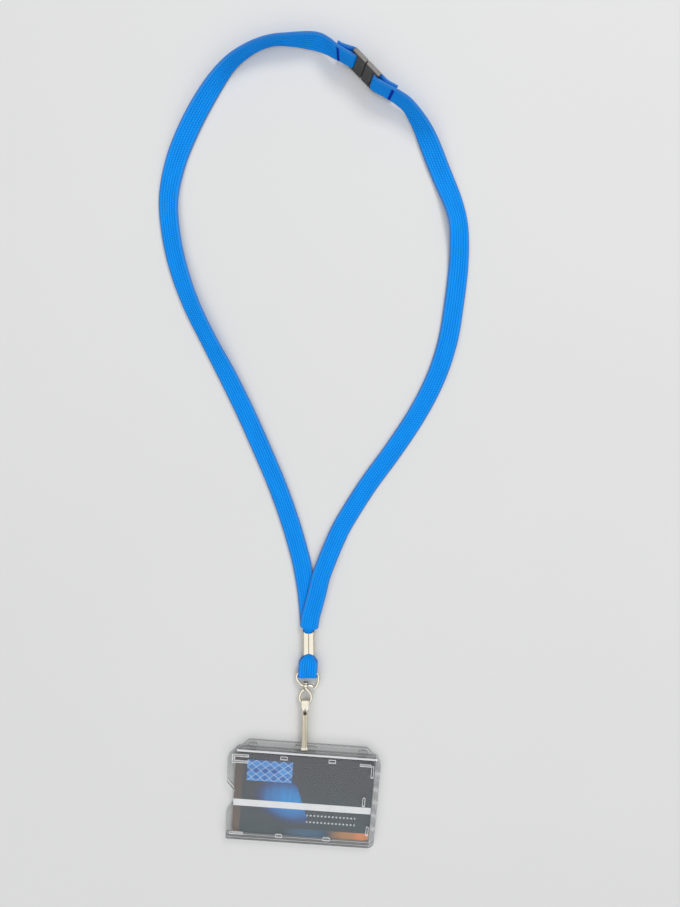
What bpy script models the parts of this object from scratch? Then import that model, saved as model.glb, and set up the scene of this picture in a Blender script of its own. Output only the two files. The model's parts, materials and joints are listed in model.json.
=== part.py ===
"""Lanyard card holder: a neck strap of flat webbing with a breakaway clasp, a crimp,
a wire ring, a swivel eye, a J hook and a clear rigid holder with its card.

Metres, +Z up. The object lies flat: +Y runs from the holder towards the clasp.
"""

import math

import bmesh
import bpy
from mathutils import Matrix, Vector

# Clearances
GAP = 0.0003
FINE_GAP = 0.0001
OVERRUN = 0.002

# Webbing
STRAP_WIDTH = 0.0110
STRAP_THICKNESS = 0.0016
NECK_LENGTH = 0.0026

# Neck loop
LOOP_LENGTH = 0.335
LOOP_WIDTH = 0.160

# Crimp sleeve
CRIMP_LENGTH = 0.0152
CRIMP_WIDTH = 0.0068
CRIMP_WALL = 0.00045
CRIMP_CLEARANCE = 0.0002
CRIMP_STRAP_WIDTH = 0.0056
CRIMP_SCALLOP_RADIUS = 0.0046
CRIMP_SCALLOP_DEPTH = 0.0013
CRIMP_DENT = 0.00025
CRIMP_DENT_WIDTH = 0.0006

# Breakaway clasp. It stands nearly on edge, as the strap does round the top of the loop.
CLASP_PLACE_SHARES = (0.1975, 0.9492)
CLASP_HEADING = -44.0
CLASP_ROLL = 75.0
CLASP_HALF_LENGTH = 0.0093
CLASP_WIDTH = 0.0138
CLASP_THICKNESS = 0.0027
CLASP_EDGE = 0.0004
CLASP_BAR_RADIUS = 0.0006
CLASP_BAR_INSET = 0.00085
CLASP_RAIL = 0.0011
CLASP_BLOCK_LENGTH = 0.0056
PRONG_LENGTH = 0.0040
PRONG_WIDTH = 0.0020
PRONG_THICKNESS = 0.0012
PRONG_SPREAD = 0.0034
PRONG_BARB = 0.00015
PRONG_BARB_LENGTH = 0.0011
PRONG_CLEARANCE = 0.0002

# Folded strap ends
LEFT_FOLD_TURN = -18.0
RIGHT_FOLD_TURN = 18.0
FOLD_RUN = 0.0045
FOLD_CLOSING_LENGTH = 0.0065
LEFT_TACK_DISTANCE = 0.0157
RIGHT_TACK_DISTANCE = 0.0183
FOLD_END_BEYOND_TACK = 0.0015
TACK_WIDTH = 0.0086
TACK_LENGTH = 0.0015
TACK_THREAD_RADIUS = 0.00022
TACK_STROKES = 13

# Wire ring, swivel eye
WIRE_RADIUS = 0.0009
RING_BAR_DROP = 0.0196
RING_OFFSET = -0.0008
RING_HALF_WIDTH = 0.0065
RING_DROP = 0.0076
RING_LOOP_WIDTH = 0.0114
RING_NECK_LENGTH = 0.0052
HARDWARE_LEAN = -1.5
SWIVEL_OFFSET = -0.00105
EYELET_RADIUS = 0.0017
EYELET_LENGTH = 0.0020
SHANK_RADIUS = 0.00075
SWIVEL_CLEARANCE = 0.0002
HEAD_RADIUS = 0.0016
HEAD_THICKNESS = 0.0009
EYE_DROP = 0.0110
EYE_HALF_WIDTH = 0.0036

# J hook and its gate
HOOK_WIDTH = 0.0039
KNUCKLE_WIDTH = 0.0042
SHEET = 0.0007
KNUCKLE_CLEARANCE = 0.0004
KNUCKLE_TAIL = 0.0032
HOOK_SEAT_DROP = 0.02755
J_INNER_RADIUS = 0.0014
J_PLAY = 0.00185
J_TIP_REACH = 0.0058
LOBE_HEIGHT = 0.0011
LOBE_START = 0.0024
LOBE_END = 0.0274
LOBE_FADE = 0.0012
HOOK_HOLE_DROP = 0.0050
HOOK_HOLE_LENGTH = 0.0039
HOOK_HOLE_WIDTH = 0.0020
GATE_SHEET = 0.00045
GATE_WIDTH = 0.0028
GATE_TAB_WIDTH = 0.0013
GATE_PIVOT_DROP = 0.0070
GATE_TAB_DROP = 0.0052
GATE_TIP_CLEARANCE = 0.0004

# Card and label strip
CARD_WIDTH = 0.0856
CARD_HEIGHT = 0.0540
CARD_THICKNESS = 0.00076
CARD_CORNER = 0.00318
CARD_CLEARANCE = 0.0002
LABEL_HEIGHT = 0.0044
LABEL_DROP = 0.0065
LABEL_THICKNESS = 0.00012

# Holder
HOLDER_THICKNESS = 0.0046
HOLDER_SHEET = 0.0012
HOLDER_PARTING = 0.0024
HOLDER_LEAN = -4.4
RIGHT_WALL = 0.0034
LEFT_MARGIN = 0.0041
LEFT_LEAN = 0.0014
BOTTOM_WALL = 0.0033
TOP_WALL = 0.0034
HOLDER_CORNER = 0.0040
HOLDER_SMALL_CORNER = 0.0010
RIDGE_WIDTH = 0.0013
RIDGE_RISE = 0.0004
TAB_HEIGHT = 0.0058
TAB_THICKNESS = 0.0018
TAB_RIM = 0.0017
TAB_LEFT_INSET = 0.0116
TAB_RIGHT_INSET = 0.0092
TAB_FOOT_INSET = 0.0024
SHOULDER_LEFT_INSET = 0.0056
SHOULDER_LEFT_DROP = 0.0063
SHOULDER_RIGHT_DROP = 0.0043
SLOT_OFFSET = 0.0005
SLOT_WIDTH = 0.0141
SLOT_HEIGHT = 0.0036
HOOK_SIDE_PLAY = 0.0009
SIDE_SLOT_WIDTH = 0.0054
SIDE_SLOT_HEIGHT = 0.0029
SIDE_SLOT_INSET = 0.0024
NOTCH_DEPTH = 0.0048
NOTCH_OUTER = 0.0203
NOTCH_INNER = 0.0086
NOTCH_CORNER = 0.0025
NOTCH_CENTRE_DROP = 0.0021
WINDOW_SLIT = 0.0009
CLIP_WINDOW_WIDTH = 0.0095
CLIP_WINDOW_HEIGHT = 0.0050
CLIP_WINDOW_INSET = 0.0026
CORNER_WINDOW = 0.0082
CORNER_WINDOW_DROP = 0.0014
RAIL_WINDOW_WIDTH = 0.0037
RAIL_WINDOW_HEIGHT = 0.0016
RAIL_WINDOW_SPREAD = 0.0148
RAIL_WINDOW_OFFSET = 0.0016
EDGE_WINDOW_LENGTH = 0.0053
EDGE_WINDOW_INSETS = (0.0046, 0.0010)
EDGE_WINDOW_CENTRES = (0.0006, -0.0189)

# Faceting
STRAP_EDGE_STEPS = 3
WIRE_SIDES = 10
SCALLOP_SIDES = 40
STEPS_PER_SPAN = 5
BEND_STEPS = 8
ARC_STEPS = 6

# Left and right stretches of the neck strap, from the crimp's mouth to the clasp, as
# places chosen by hand: the share of the loop's width to the right of the crimp, the
# share of the loop's length above the crimp, the share of the strap's thickness that
# its underside is lifted, and the roll in degrees.
LEFT_ROUTE_SHARES = (
    (0.002, 0.034, 0.05, 0.0),
    (0.0, 0.050, 0.0, 0.0),
    (-0.0065, 0.090, 0.0, 0.0),
    (-0.018, 0.128, 0.0, 0.0),
    (-0.033, 0.163, 0.0, 0.0),
    (-0.066, 0.221, 0.0, 3.0),
    (-0.111, 0.285, 0.0, 5.0),
    (-0.163, 0.347, 0.0, 6.0),
    (-0.218, 0.409, 0.0, 8.0),
    (-0.277, 0.470, 0.0, 13.0),
    (-0.340, 0.530, 0.0, 25.0),
    (-0.399, 0.590, 0.0, 22.0),
    (-0.440, 0.648, 0.0, 15.0),
    (-0.463, 0.705, 0.0, 12.0),
    (-0.467, 0.761, 0.0, 6.0),
    (-0.439, 0.816, 0.0, -8.0),
    (-0.386, 0.869, 0.0, -24.0),
    (-0.319, 0.919, 0.0, -42.0),
    (-0.250, 0.958, 0.0, -66.0),
    (-0.181, 0.981, 0.0, -80.0),
    (-0.113, 0.993, 0.0, -85.0),
    (-0.047, 0.995, 0.0, -79.0),
    (0.017, 0.994, 0.0, -65.0),
    (0.050, 0.991, 0.10, -61.0),
    (0.0775, 0.9848, 0.45, -67.0),
    (0.1025, 0.9764, 0.90, -73.0),
)
RIGHT_ROUTE_SHARES = (
    (0.003, 0.034, 1.35, 0.0),
    (0.0085, 0.050, 1.25, 0.0),
    (0.018, 0.066, 1.20, 0.0),
    (0.031, 0.090, 1.20, 0.0),
    (0.047, 0.122, 1.20, 0.0),
    (0.072, 0.155, 1.10, 0.0),
    (0.101, 0.188, 0.50, 0.0),
    (0.134, 0.220, 0.08, 0.0),
    (0.217, 0.2845, 0.0, 0.0),
    (0.3085, 0.346, 0.0, 0.0),
    (0.392, 0.408, 0.0, 0.0),
    (0.456, 0.470, 0.0, 3.0),
    (0.495, 0.530, 0.0, 4.0),
    (0.514, 0.590, 0.0, 2.0),
    (0.526, 0.648, 0.0, 0.0),
    (0.527, 0.693, 0.0, -8.0),
    (0.520, 0.725, 0.0, -16.0),
    (0.500, 0.756, 0.0, -8.0),
    (0.469, 0.789, 0.0, 4.0),
    (0.442, 0.817, 0.0, 12.0),
    (0.415, 0.845, 0.0, 26.0),
    (0.3855, 0.8705, 0.0, 48.0),
    (0.3445, 0.8965, 0.25, 66.0),
    (0.3125, 0.9080, 0.50, 72.0),
    (0.2880, 0.9140, 0.75, 75.0),
)

# Domed head of the swivel's shank: shares of its thickness and of its radius.
HEAD_SHARES = ((0.0, 1.0), (0.33, 1.0), (0.75, 0.8), (1.0, 0.4))

# Section of the hook's rolled body: shares of its width, and of the lobes' height.
LOBE_SHARES = (
    (-0.5, 0.0),
    (-0.44, 0.62),
    (-0.25, 1.0),
    (-0.07, 0.70),
    (0.0, 0.25),
    (0.07, 0.70),
    (0.25, 1.0),
    (0.44, 0.62),
    (0.5, 0.0),
)


def clear_scene():
    for obj in list(bpy.data.objects):
        bpy.data.objects.remove(obj, do_unlink=True)


def make_material(name, colour, roughness, metallic=0.0, alpha=1.0):
    material = bpy.data.materials.new(name)
    material.use_nodes = True
    shader = material.node_tree.nodes["Principled BSDF"]
    shader.inputs["Base Color"].default_value = (*colour, 1.0)
    shader.inputs["Roughness"].default_value = roughness
    shader.inputs["Metallic"].default_value = metallic
    shader.inputs["Alpha"].default_value = alpha
    return material


def joint_frame(name, parent, place):
    """An empty on a joint's axis; its pieces are modelled around it."""
    empty = bpy.data.objects.new(name, None)
    bpy.context.scene.collection.objects.link(empty)
    empty.empty_display_size = STRAP_WIDTH
    empty.parent = parent
    empty.matrix_local = place
    return empty


def make_piece(name, bm, frame, material, smooth_degrees=40.0):
    bmesh.ops.recalc_face_normals(bm, faces=bm.faces)
    mesh = bpy.data.meshes.new(name)
    bm.to_mesh(mesh)
    bm.free()
    mesh.shade_smooth()
    mesh.set_sharp_from_angle(angle=math.radians(smooth_degrees))
    obj = bpy.data.objects.new(name, mesh)
    bpy.context.scene.collection.objects.link(obj)
    obj.parent = frame
    if material is None:
        obj.hide_render = True
        obj.display_type = "WIRE"
    else:
        mesh.materials.append(material)
    return obj


def combine(target, other, operation):
    modifier = target.modifiers.new(f"{operation} {other.name}", "BOOLEAN")
    modifier.operation = operation
    modifier.solver = "EXACT"
    modifier.object = other


def cut(target, cutter):
    combine(target, cutter, "DIFFERENCE")


def join(target, other):
    combine(target, other, "UNION")


def loft(rings):
    """A closed solid through rings with equal numbers of points."""
    bm = bmesh.new()
    loops = [[bm.verts.new(point) for point in ring] for ring in rings]
    count = len(loops[0])
    for first, second in zip(loops, loops[1:]):
        for i in range(count):
            j = (i + 1) % count
            bm.faces.new((first[i], first[j], second[j], second[i]))
    bm.faces.new(loops[0])
    bm.faces.new(loops[-1])
    return bm


def prism(outline, low, high):
    """The outline, a list of (x, y), as a solid from z = low to z = high."""
    bm = bmesh.new()
    face = bm.faces.new([bm.verts.new((x, y, low)) for x, y in outline])
    raised = bmesh.ops.extrude_face_region(bm, geom=[face])
    corners = [item for item in raised["geom"] if isinstance(item, bmesh.types.BMVert)]
    bmesh.ops.translate(bm, verts=corners, vec=(0, 0, high - low))
    return bm


def soften(bm, edges, radius):
    bmesh.ops.bevel(
        bm, geom=list(edges), offset=radius, segments=2, profile=0.5, affect="EDGES"
    )


def rectangle(left, right, bottom, top):
    return [(left, bottom), (right, bottom), (right, top), (left, top)]


def box(low, high):
    return prism(rectangle(low[0], high[0], low[1], high[1]), low[2], high[2])


def rounded(corners):
    """An outline from (x, y, radius) corners, with an arc at each corner that has a radius."""
    outline = []
    count = len(corners)
    for i, (x, y, radius) in enumerate(corners):
        here = Vector((x, y))
        if radius <= 0:
            outline.append((x, y))
            continue
        back = (Vector(corners[i - 1][:2]) - here).normalized()
        ahead = (Vector(corners[(i + 1) % count][:2]) - here).normalized()
        half = back.angle(ahead) / 2
        centre = here + (back + ahead).normalized() * (radius / math.sin(half))
        start = here + back * (radius / math.tan(half)) - centre
        finish = here + ahead * (radius / math.tan(half)) - centre
        turn = start.angle_signed(finish)
        for step in range(ARC_STEPS + 1):
            arm = start.copy()
            arm.rotate(Matrix.Rotation(-turn * step / ARC_STEPS, 2))
            outline.append(tuple(centre + arm))
    return outline


def slot_outline(x, y, width, height):
    half, rise = width / 2, height / 2
    radius = min(half, rise) - FINE_GAP
    corners = rectangle(x - half, x + half, y - rise, y + rise)
    return rounded([(corner_x, corner_y, radius) for corner_x, corner_y in corners])


def blend(a, b, share):
    """From a to b with an eased share between 0 and 1."""
    share = min(max(share, 0.0), 1.0)
    eased = share * share * (3 - 2 * share)
    return a + (b - a) * eased


def spline(points):
    """Catmull-Rom curve through equally long tuples, with a few steps in each span."""
    padded = [points[0], *points, points[-1]]
    curve = []
    for p0, p1, p2, p3 in zip(padded, padded[1:], padded[2:], padded[3:]):
        for step in range(STEPS_PER_SPAN):
            u = step / STEPS_PER_SPAN
            curve.append(
                tuple(
                    0.5
                    * (
                        2 * b
                        + (c - a) * u
                        + (2 * a - 5 * b + 4 * c - d) * u * u
                        + (3 * b - a - 3 * c + d) * u * u * u
                    )
                    for a, b, c, d in zip(p0, p1, p2, p3)
                )
            )
    curve.append(tuple(points[-1]))
    return curve


def tangents(places):
    ahead = places[1:] + places[-1:]
    back = places[:1] + places[:-1]
    return [(b - a).normalized() for a, b in zip(back, ahead)]


def webbing_section(width, thickness):
    """Flat section with round edges, as (across, up) pairs."""
    reach = width / 2 - thickness / 2
    pairs = []
    for side in (1, -1):
        for step in range(STRAP_EDGE_STEPS + 1):
            angle = math.pi * (step / STRAP_EDGE_STEPS - 0.5)
            pairs.append(
                (
                    side * (reach + thickness / 2 * math.cos(angle)),
                    side * thickness / 2 * math.sin(angle),
                )
            )
    return pairs


def wire_section(radius):
    turn = 2 * math.pi / WIRE_SIDES
    return [
        (radius * math.cos(i * turn), radius * math.sin(i * turn))
        for i in range(WIRE_SIDES)
    ]


def swept(places, acrosses, sections):
    """A solid along the places; across is each section's first direction."""
    rings = []
    for place, along, across, section in zip(places, tangents(places), acrosses, sections):
        across = (across - along * across.dot(along)).normalized()
        up = across.cross(along)
        rings.append([place + across * a + up * b for a, b in section])
    return loft(rings)


def turned(stations):
    """A solid of revolution about Y from (y, radius) stations."""
    turn = 2 * math.pi / (2 * WIRE_SIDES)
    return loft(
        [
            [
                (radius * math.cos(i * turn), y, radius * math.sin(i * turn))
                for i in range(2 * WIRE_SIDES)
            ]
            for y, radius in stations
        ]
    )


# Neck strap

CLASP_PLACE = Vector(
    (CLASP_PLACE_SHARES[0] * LOOP_WIDTH, CLASP_PLACE_SHARES[1] * LOOP_LENGTH, 0)
)
FOLD_RADIUS = CLASP_BAR_RADIUS + GAP + STRAP_THICKNESS / 2
CLASP_BAR_PLACE = CLASP_HALF_LENGTH - CLASP_BAR_INSET
ROLL = math.radians(CLASP_ROLL)
CLASP_LIFT = CLASP_THICKNESS / 2 * math.cos(ROLL) + CLASP_WIDTH / 2 * math.sin(ROLL)
CLASP_FRAME = (
    Matrix.Translation(CLASP_PLACE + Vector((0, 0, CLASP_LIFT)))
    @ Matrix.Rotation(math.radians(CLASP_HEADING), 4, "Z")
    @ Matrix.Rotation(ROLL, 4, "X")
)
CRIMP_CAVITY = 2 * STRAP_THICKNESS + GAP + 2 * CRIMP_CLEARANCE
CRIMP_HEIGHT = CRIMP_CAVITY + 2 * CRIMP_WALL
LOWER_LAYER = CRIMP_HEIGHT / 2 - (STRAP_THICKNESS + GAP) / 2
UPPER_LAYER = CRIMP_HEIGHT / 2 + (STRAP_THICKNESS + GAP) / 2


def strap_width_at(place):
    """The webbing is bunched in the crimp."""
    out_of_crimp = (place.y - CRIMP_LENGTH / 2) / NECK_LENGTH
    return blend(CRIMP_STRAP_WIDTH, STRAP_WIDTH, out_of_crimp)


def fold_frame(side):
    """On the clasp's bar: X runs outwards along the fold, Y along the bar."""
    turn = RIGHT_FOLD_TURN if side > 0 else LEFT_FOLD_TURN
    return (
        CLASP_FRAME
        @ Matrix.Translation((side * CLASP_BAR_PLACE, 0, 0))
        @ Matrix.Rotation(0 if side > 0 else math.pi, 4, "Z")
        @ Matrix.Rotation(math.radians(turn), 4, "Y")
    )


def roll_in(frame):
    """The roll of webbing that runs against the frame's X with its width along Y."""
    along, across = -frame.to_3x3().col[0], frame.to_3x3().col[1]
    level = along.cross(Vector((0, 0, 1))).normalized()
    return math.atan2(across.dot(level.cross(along)), across.dot(level))


def resting_height(place, tilt):
    """Height of the webbing's middle where its lower edge rests on the ground."""
    reach = (strap_width_at(place) - STRAP_THICKNESS) / 2
    return reach * abs(math.sin(tilt)) + STRAP_THICKNESS / 2


def route_stations(shares, layer, side):
    """Smooth stations (x, y, z, roll) from the crimp's middle to the clasp's bar."""
    stations = [
        (0.0, GAP / 2, layer, 0.0),
        (0.0, CRIMP_LENGTH / 2, layer, 0.0),
    ]
    for x_share, y_share, lift_share, roll in shares:
        place = Vector((x_share * LOOP_WIDTH, y_share * LOOP_LENGTH, 0))
        tilt = math.radians(roll)
        height = lift_share * STRAP_THICKNESS + resting_height(place, tilt)
        stations.append((place.x, place.y, height, tilt))
    fold = fold_frame(side)
    for run in (FOLD_RUN, FOLD_RUN / 2, 0):
        stations.append((*(fold @ Vector((run, 0, FOLD_RADIUS))), roll_in(fold)))
    return stations


def strap_leg(name, shares, layer, side, frame, material):
    """One stretch of the neck strap, with its end folded round the clasp's bar."""
    curve = spline(route_stations(shares, layer, side))
    places = [Vector(station[:3]) for station in curve]
    acrosses = []
    for along, station in zip(tangents(places), curve):
        level = along.cross(Vector((0, 0, 1))).normalized()
        acrosses.append(
            level * math.cos(station[3]) + level.cross(along) * math.sin(station[3])
        )
    ups = [across.cross(along) for across, along in zip(acrosses, tangents(places))]
    bar = fold_frame(side)
    fold = []
    for step in range(1, BEND_STEPS):
        angle = math.pi * step / BEND_STEPS
        arm = Vector((-FOLD_RADIUS * math.sin(angle), 0, FOLD_RADIUS * math.cos(angle)))
        fold.append(bar @ arm)
    back = []
    back_acrosses = []
    tack = None
    tack_distance = RIGHT_TACK_DISTANCE if side > 0 else LEFT_TACK_DISTANCE
    for place, across, up in zip(reversed(places), reversed(acrosses), reversed(ups)):
        distance = abs((CLASP_FRAME.inverted() @ place).x)
        if distance > tack_distance + FOLD_END_BEYOND_TACK:
            break
        closing = (distance - CLASP_BAR_PLACE) / FOLD_CLOSING_LENGTH
        rise = blend(2 * FOLD_RADIUS, STRAP_THICKNESS + GAP, closing)
        back.append(place - up * rise)
        back_acrosses.append(across)
        if distance < tack_distance:
            over = STRAP_THICKNESS / 2 + FINE_GAP + TACK_THREAD_RADIUS
            tack = (place + up * over, across, up)
    all_places = places + fold + back
    all_acrosses = acrosses + [acrosses[-1]] * len(fold) + back_acrosses
    sections = [
        webbing_section(strap_width_at(place), STRAP_THICKNESS) for place in all_places
    ]
    make_piece(name, swept(all_places, all_acrosses, sections), frame, material)
    return tack


def bar_tack(name, seat, across, up, frame, material):
    """A zigzag of thread across the fold."""
    along = up.cross(across)
    places = []
    for stroke in range(TACK_STROKES + 1):
        share = stroke / TACK_STROKES - 0.5
        reach = TACK_LENGTH / 2 * (1 if stroke % 2 else -1)
        places.append(seat + across * TACK_WIDTH * share + along * reach)
    sections = [wire_section(TACK_THREAD_RADIUS)] * len(places)
    make_piece(name, swept(places, [up] * len(places), sections), frame, material)


def strap_ring_loop(frame, material):
    """The strap below the crimp: down, round the ring's bar and up again."""
    radius = WIRE_RADIUS + GAP + STRAP_THICKNESS / 2
    bar_height = radius + STRAP_THICKNESS / 2
    half_crimp = CRIMP_LENGTH / 2
    down = [
        Vector((0, -GAP / 2, LOWER_LAYER)),
        Vector((0, -half_crimp, LOWER_LAYER)),
        Vector((RING_OFFSET / 2, -(half_crimp + RING_BAR_DROP) / 2, bar_height - radius)),
        Vector((RING_OFFSET, -RING_BAR_DROP, bar_height - radius)),
    ]
    down = [Vector(p) for p in spline([tuple(p) for p in down])]
    bend = []
    for step in range(1, BEND_STEPS):
        angle = math.pi * step / BEND_STEPS
        bend.append(
            Vector(
                (
                    RING_OFFSET,
                    -RING_BAR_DROP - radius * math.sin(angle),
                    bar_height - radius * math.cos(angle),
                )
            )
        )
    up = [
        Vector((RING_OFFSET, -RING_BAR_DROP, bar_height + radius)),
        Vector((RING_OFFSET / 2, -(half_crimp + RING_BAR_DROP) / 2, bar_height + radius)),
        Vector((0, -half_crimp, UPPER_LAYER)),
        Vector((0, -GAP / 2, UPPER_LAYER)),
    ]
    up = [Vector(p) for p in spline([tuple(p) for p in up])]
    places = down + bend + up
    sections = []
    for place in places:
        out = (-place.y - half_crimp) / RING_NECK_LENGTH
        width = blend(CRIMP_STRAP_WIDTH, RING_LOOP_WIDTH, out)
        sections.append(webbing_section(width, STRAP_THICKNESS))
    across = Vector((-1, 0, 0))
    bm = swept(places, [across] * len(places), sections)
    make_piece("strap_ring_loop", bm, frame, material)


def scallop_outline(centre_y):
    turn = 2 * math.pi / SCALLOP_SIDES
    return [
        (
            CRIMP_SCALLOP_RADIUS * math.cos(i * turn),
            centre_y + CRIMP_SCALLOP_RADIUS * math.sin(i * turn),
        )
        for i in range(SCALLOP_SIDES)
    ]


def crimp_sleeve(frame, material):
    """A flattened sleeve with scalloped ends and a seam dent along its top."""
    reach = CRIMP_WIDTH / 2 - CRIMP_HEIGHT / 4
    corner = CRIMP_HEIGHT / 4
    section = []
    steps = 2 * ARC_STEPS
    for step in range(steps + 1):
        x = -reach + 2 * reach * step / steps
        dent = CRIMP_DENT * math.exp(-((x / CRIMP_DENT_WIDTH) ** 2))
        section.append((x, CRIMP_HEIGHT - dent))
    high = CRIMP_HEIGHT - corner
    arcs = (
        (reach, high, 90),
        (reach, corner, 0),
        (-reach, corner, -90),
        (-reach, high, -180),
    )
    for x, z, start in arcs:
        for step in range(ARC_STEPS + 1):
            angle = math.radians(start - 90 * step / ARC_STEPS)
            section.append((x + corner * math.cos(angle), z + corner * math.sin(angle)))
    section = section[: steps + 1] + section[steps + 2 : -1]
    half = CRIMP_LENGTH / 2
    bm = loft([[(x, y, z) for x, z in section] for y in (-half, half)])
    sleeve = make_piece("crimp_sleeve", bm, frame, material)
    bore = box(
        (-CRIMP_WIDTH / 2 + CRIMP_WALL, -half - OVERRUN, CRIMP_WALL),
        (CRIMP_WIDTH / 2 - CRIMP_WALL, half + OVERRUN, CRIMP_HEIGHT - CRIMP_WALL),
    )
    edges = side_edges(bore)
    soften(bore, edges, corner - CRIMP_WALL)
    cut(sleeve, make_piece("crimp_bore_cutter", bore, frame, None))
    for side in (-1, 1):
        centre_y = side * (half + CRIMP_SCALLOP_RADIUS - CRIMP_SCALLOP_DEPTH)
        cutter = prism(scallop_outline(centre_y), -OVERRUN, CRIMP_HEIGHT + OVERRUN)
        cut(sleeve, make_piece(f"crimp_scallop_cutter_{side}", cutter, frame, None))


def side_edges(bm):
    """The edges of a box that run along Y."""
    return [
        edge
        for edge in bm.edges
        if abs(edge.verts[0].co.y - edge.verts[1].co.y) > OVERRUN
        and abs(edge.verts[0].co.x - edge.verts[1].co.x) < FINE_GAP
    ]


# Breakaway clasp


def clasp_half(name, side, frame, material):
    """The block with two rails and the bar that the strap folds round."""
    start = side * GAP / 2
    end = side * CLASP_HALF_LENGTH
    half_width, half_thickness = CLASP_WIDTH / 2, CLASP_THICKNESS / 2
    bm = box(
        (min(start, end), -half_width, -half_thickness),
        (max(start, end), half_width, half_thickness),
    )
    soften(bm, bm.edges, CLASP_EDGE)
    body = make_piece(name, bm, frame, material)
    slot_start = side * CLASP_BLOCK_LENGTH
    slot_end = side * (CLASP_HALF_LENGTH + OVERRUN)
    slot_half = half_width - CLASP_RAIL
    slot = box(
        (min(slot_start, slot_end), -slot_half, -half_thickness - OVERRUN),
        (max(slot_start, slot_end), slot_half, half_thickness + OVERRUN),
    )
    cut(body, make_piece(f"{name}_slot_cutter", slot, frame, None))
    bar_place = side * CLASP_BAR_PLACE
    ring = wire_section(CLASP_BAR_RADIUS)
    bar_half = half_width - CLASP_RAIL / 2
    bar = loft([[(bar_place + a, y, b) for a, b in ring] for y in (-bar_half, bar_half)])
    join(body, make_piece(f"{name}_bar", bar, frame, None))
    return body


def clasp_socket(frame, material):
    body = clasp_half("clasp_socket", -1, frame, material)
    outer = PRONG_SPREAD + PRONG_WIDTH / 2 + PRONG_BARB + PRONG_CLEARANCE
    rise = PRONG_THICKNESS / 2 + PRONG_CLEARANCE
    bore = box((-PRONG_LENGTH - PRONG_CLEARANCE, -outer, -rise), (OVERRUN, outer, rise))
    cut(body, make_piece("clasp_socket_bore_cutter", bore, frame, None))


def clasp_plug(frame, material):
    body = clasp_half("clasp_plug", 1, frame, material)
    for side in (-1, 1):
        inner = side * (PRONG_SPREAD - PRONG_WIDTH / 2)
        outer = side * (PRONG_SPREAD + PRONG_WIDTH / 2)
        barb = outer + side * PRONG_BARB
        tip = -PRONG_LENGTH
        outline = [
            (OVERRUN, inner),
            (OVERRUN, outer),
            (tip + 2 * PRONG_BARB_LENGTH, outer),
            (tip + PRONG_BARB_LENGTH, barb),
            (tip, outer - side * PRONG_WIDTH / 4),
            (tip, inner),
        ]
        prong = prism(outline, -PRONG_THICKNESS / 2, PRONG_THICKNESS / 2)
        join(body, make_piece(f"clasp_prong_{side}", prong, frame, None))


# Ring and swivel


def strap_ring(frame, material):
    """A wire bent to a D, open at its lower right, with an eyelet for the swivel."""
    half = RING_HALF_WIDTH
    drop = RING_DROP
    shares = (
        (0.66, -1.23),
        (0.78, -1.09),
        (0.92, -0.87),
        (1.01, -0.62),
        (1.02, -0.35),
        (1.00, -0.14),
        (0.86, 0.00),
        (0.50, 0.00),
        (0.00, 0.00),
        (-0.50, 0.00),
        (-0.86, 0.00),
        (-1.00, -0.14),
        (-1.01, -0.38),
        (-0.87, -0.63),
        (-0.64, -0.87),
        (-0.46, -1.00),
        (-0.18, -1.00),
        (0.10, -1.00),
        (0.30, -1.02),
        (0.50, -1.09),
    )
    points = [(x_share * half, y_share * drop, 0.0) for x_share, y_share in shares]
    places = [Vector(point) for point in spline(points)]
    sections = [wire_section(WIRE_RADIUS)] * len(places)
    across = [Vector((0, 0, 1))] * len(places)
    ring = make_piece("strap_ring", swept(places, across, sections), frame, material)
    top = -drop + EYELET_LENGTH / 2
    boss = turned([(top, EYELET_RADIUS), (top - EYELET_LENGTH, EYELET_RADIUS)])
    bore_radius = SHANK_RADIUS + SWIVEL_CLEARANCE
    bore = turned([(top + OVERRUN, bore_radius), (top - EYELET_LENGTH - OVERRUN, bore_radius)])
    for bm in (boss, bore):
        bmesh.ops.translate(bm, verts=bm.verts, vec=(SWIVEL_OFFSET, 0, 0))
    join(ring, make_piece("eyelet_boss", boss, frame, None))
    cut(ring, make_piece("eyelet_bore_cutter", bore, frame, None))


def swivel_eye(frame, material):
    """Headed wire: its shank turns in the eyelet and its lower end closes to an eye."""
    head_foot = EYELET_LENGTH / 2 + GAP
    neck = -EYELET_LENGTH / 2 - GAP
    half = EYE_HALF_WIDTH
    drop = EYE_DROP
    shares = (
        (0.06, 0.17),
        (0.42, 0.29),
        (0.82, 0.46),
        (1.00, 0.65),
        (0.93, 0.82),
        (0.76, 0.93),
        (0.56, 0.98),
        (0.00, 1.00),
        (-0.56, 0.98),
        (-0.76, 0.93),
        (-0.93, 0.82),
        (-1.00, 0.65),
        (-0.84, 0.47),
        (-0.58, 0.32),
        (-0.22, 0.245),
    )
    points = [(0.0, head_foot + HEAD_THICKNESS / 2, 0.0), (0.0, 0.0, 0.0), (0.0, neck, 0.0)]
    points += [(x_share * half, -y_share * drop, 0.0) for x_share, y_share in shares]
    curve = [Vector(point) for point in spline(points)]
    sections = []
    for place in curve:
        below = (neck - place.y) / (drop / 8)
        sections.append(wire_section(blend(SHANK_RADIUS, WIRE_RADIUS, below)))
    across = [Vector((0, 0, 1))] * len(curve)
    eye = make_piece("swivel_eye", swept(curve, across, sections), frame, material)
    head = turned(
        [
            (head_foot + rise_share * HEAD_THICKNESS, radius_share * HEAD_RADIUS)
            for rise_share, radius_share in HEAD_SHARES
        ]
    )
    join(eye, make_piece("swivel_head", head, frame, None))


# J hook

KNUCKLE_RADIUS = WIRE_RADIUS + KNUCKLE_CLEARANCE + SHEET / 2
J_RADIUS = J_INNER_RADIUS + SHEET / 2
J_HEIGHT = KNUCKLE_RADIUS - J_RADIUS
J_BEND_DROP = HOOK_SEAT_DROP + J_PLAY


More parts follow.
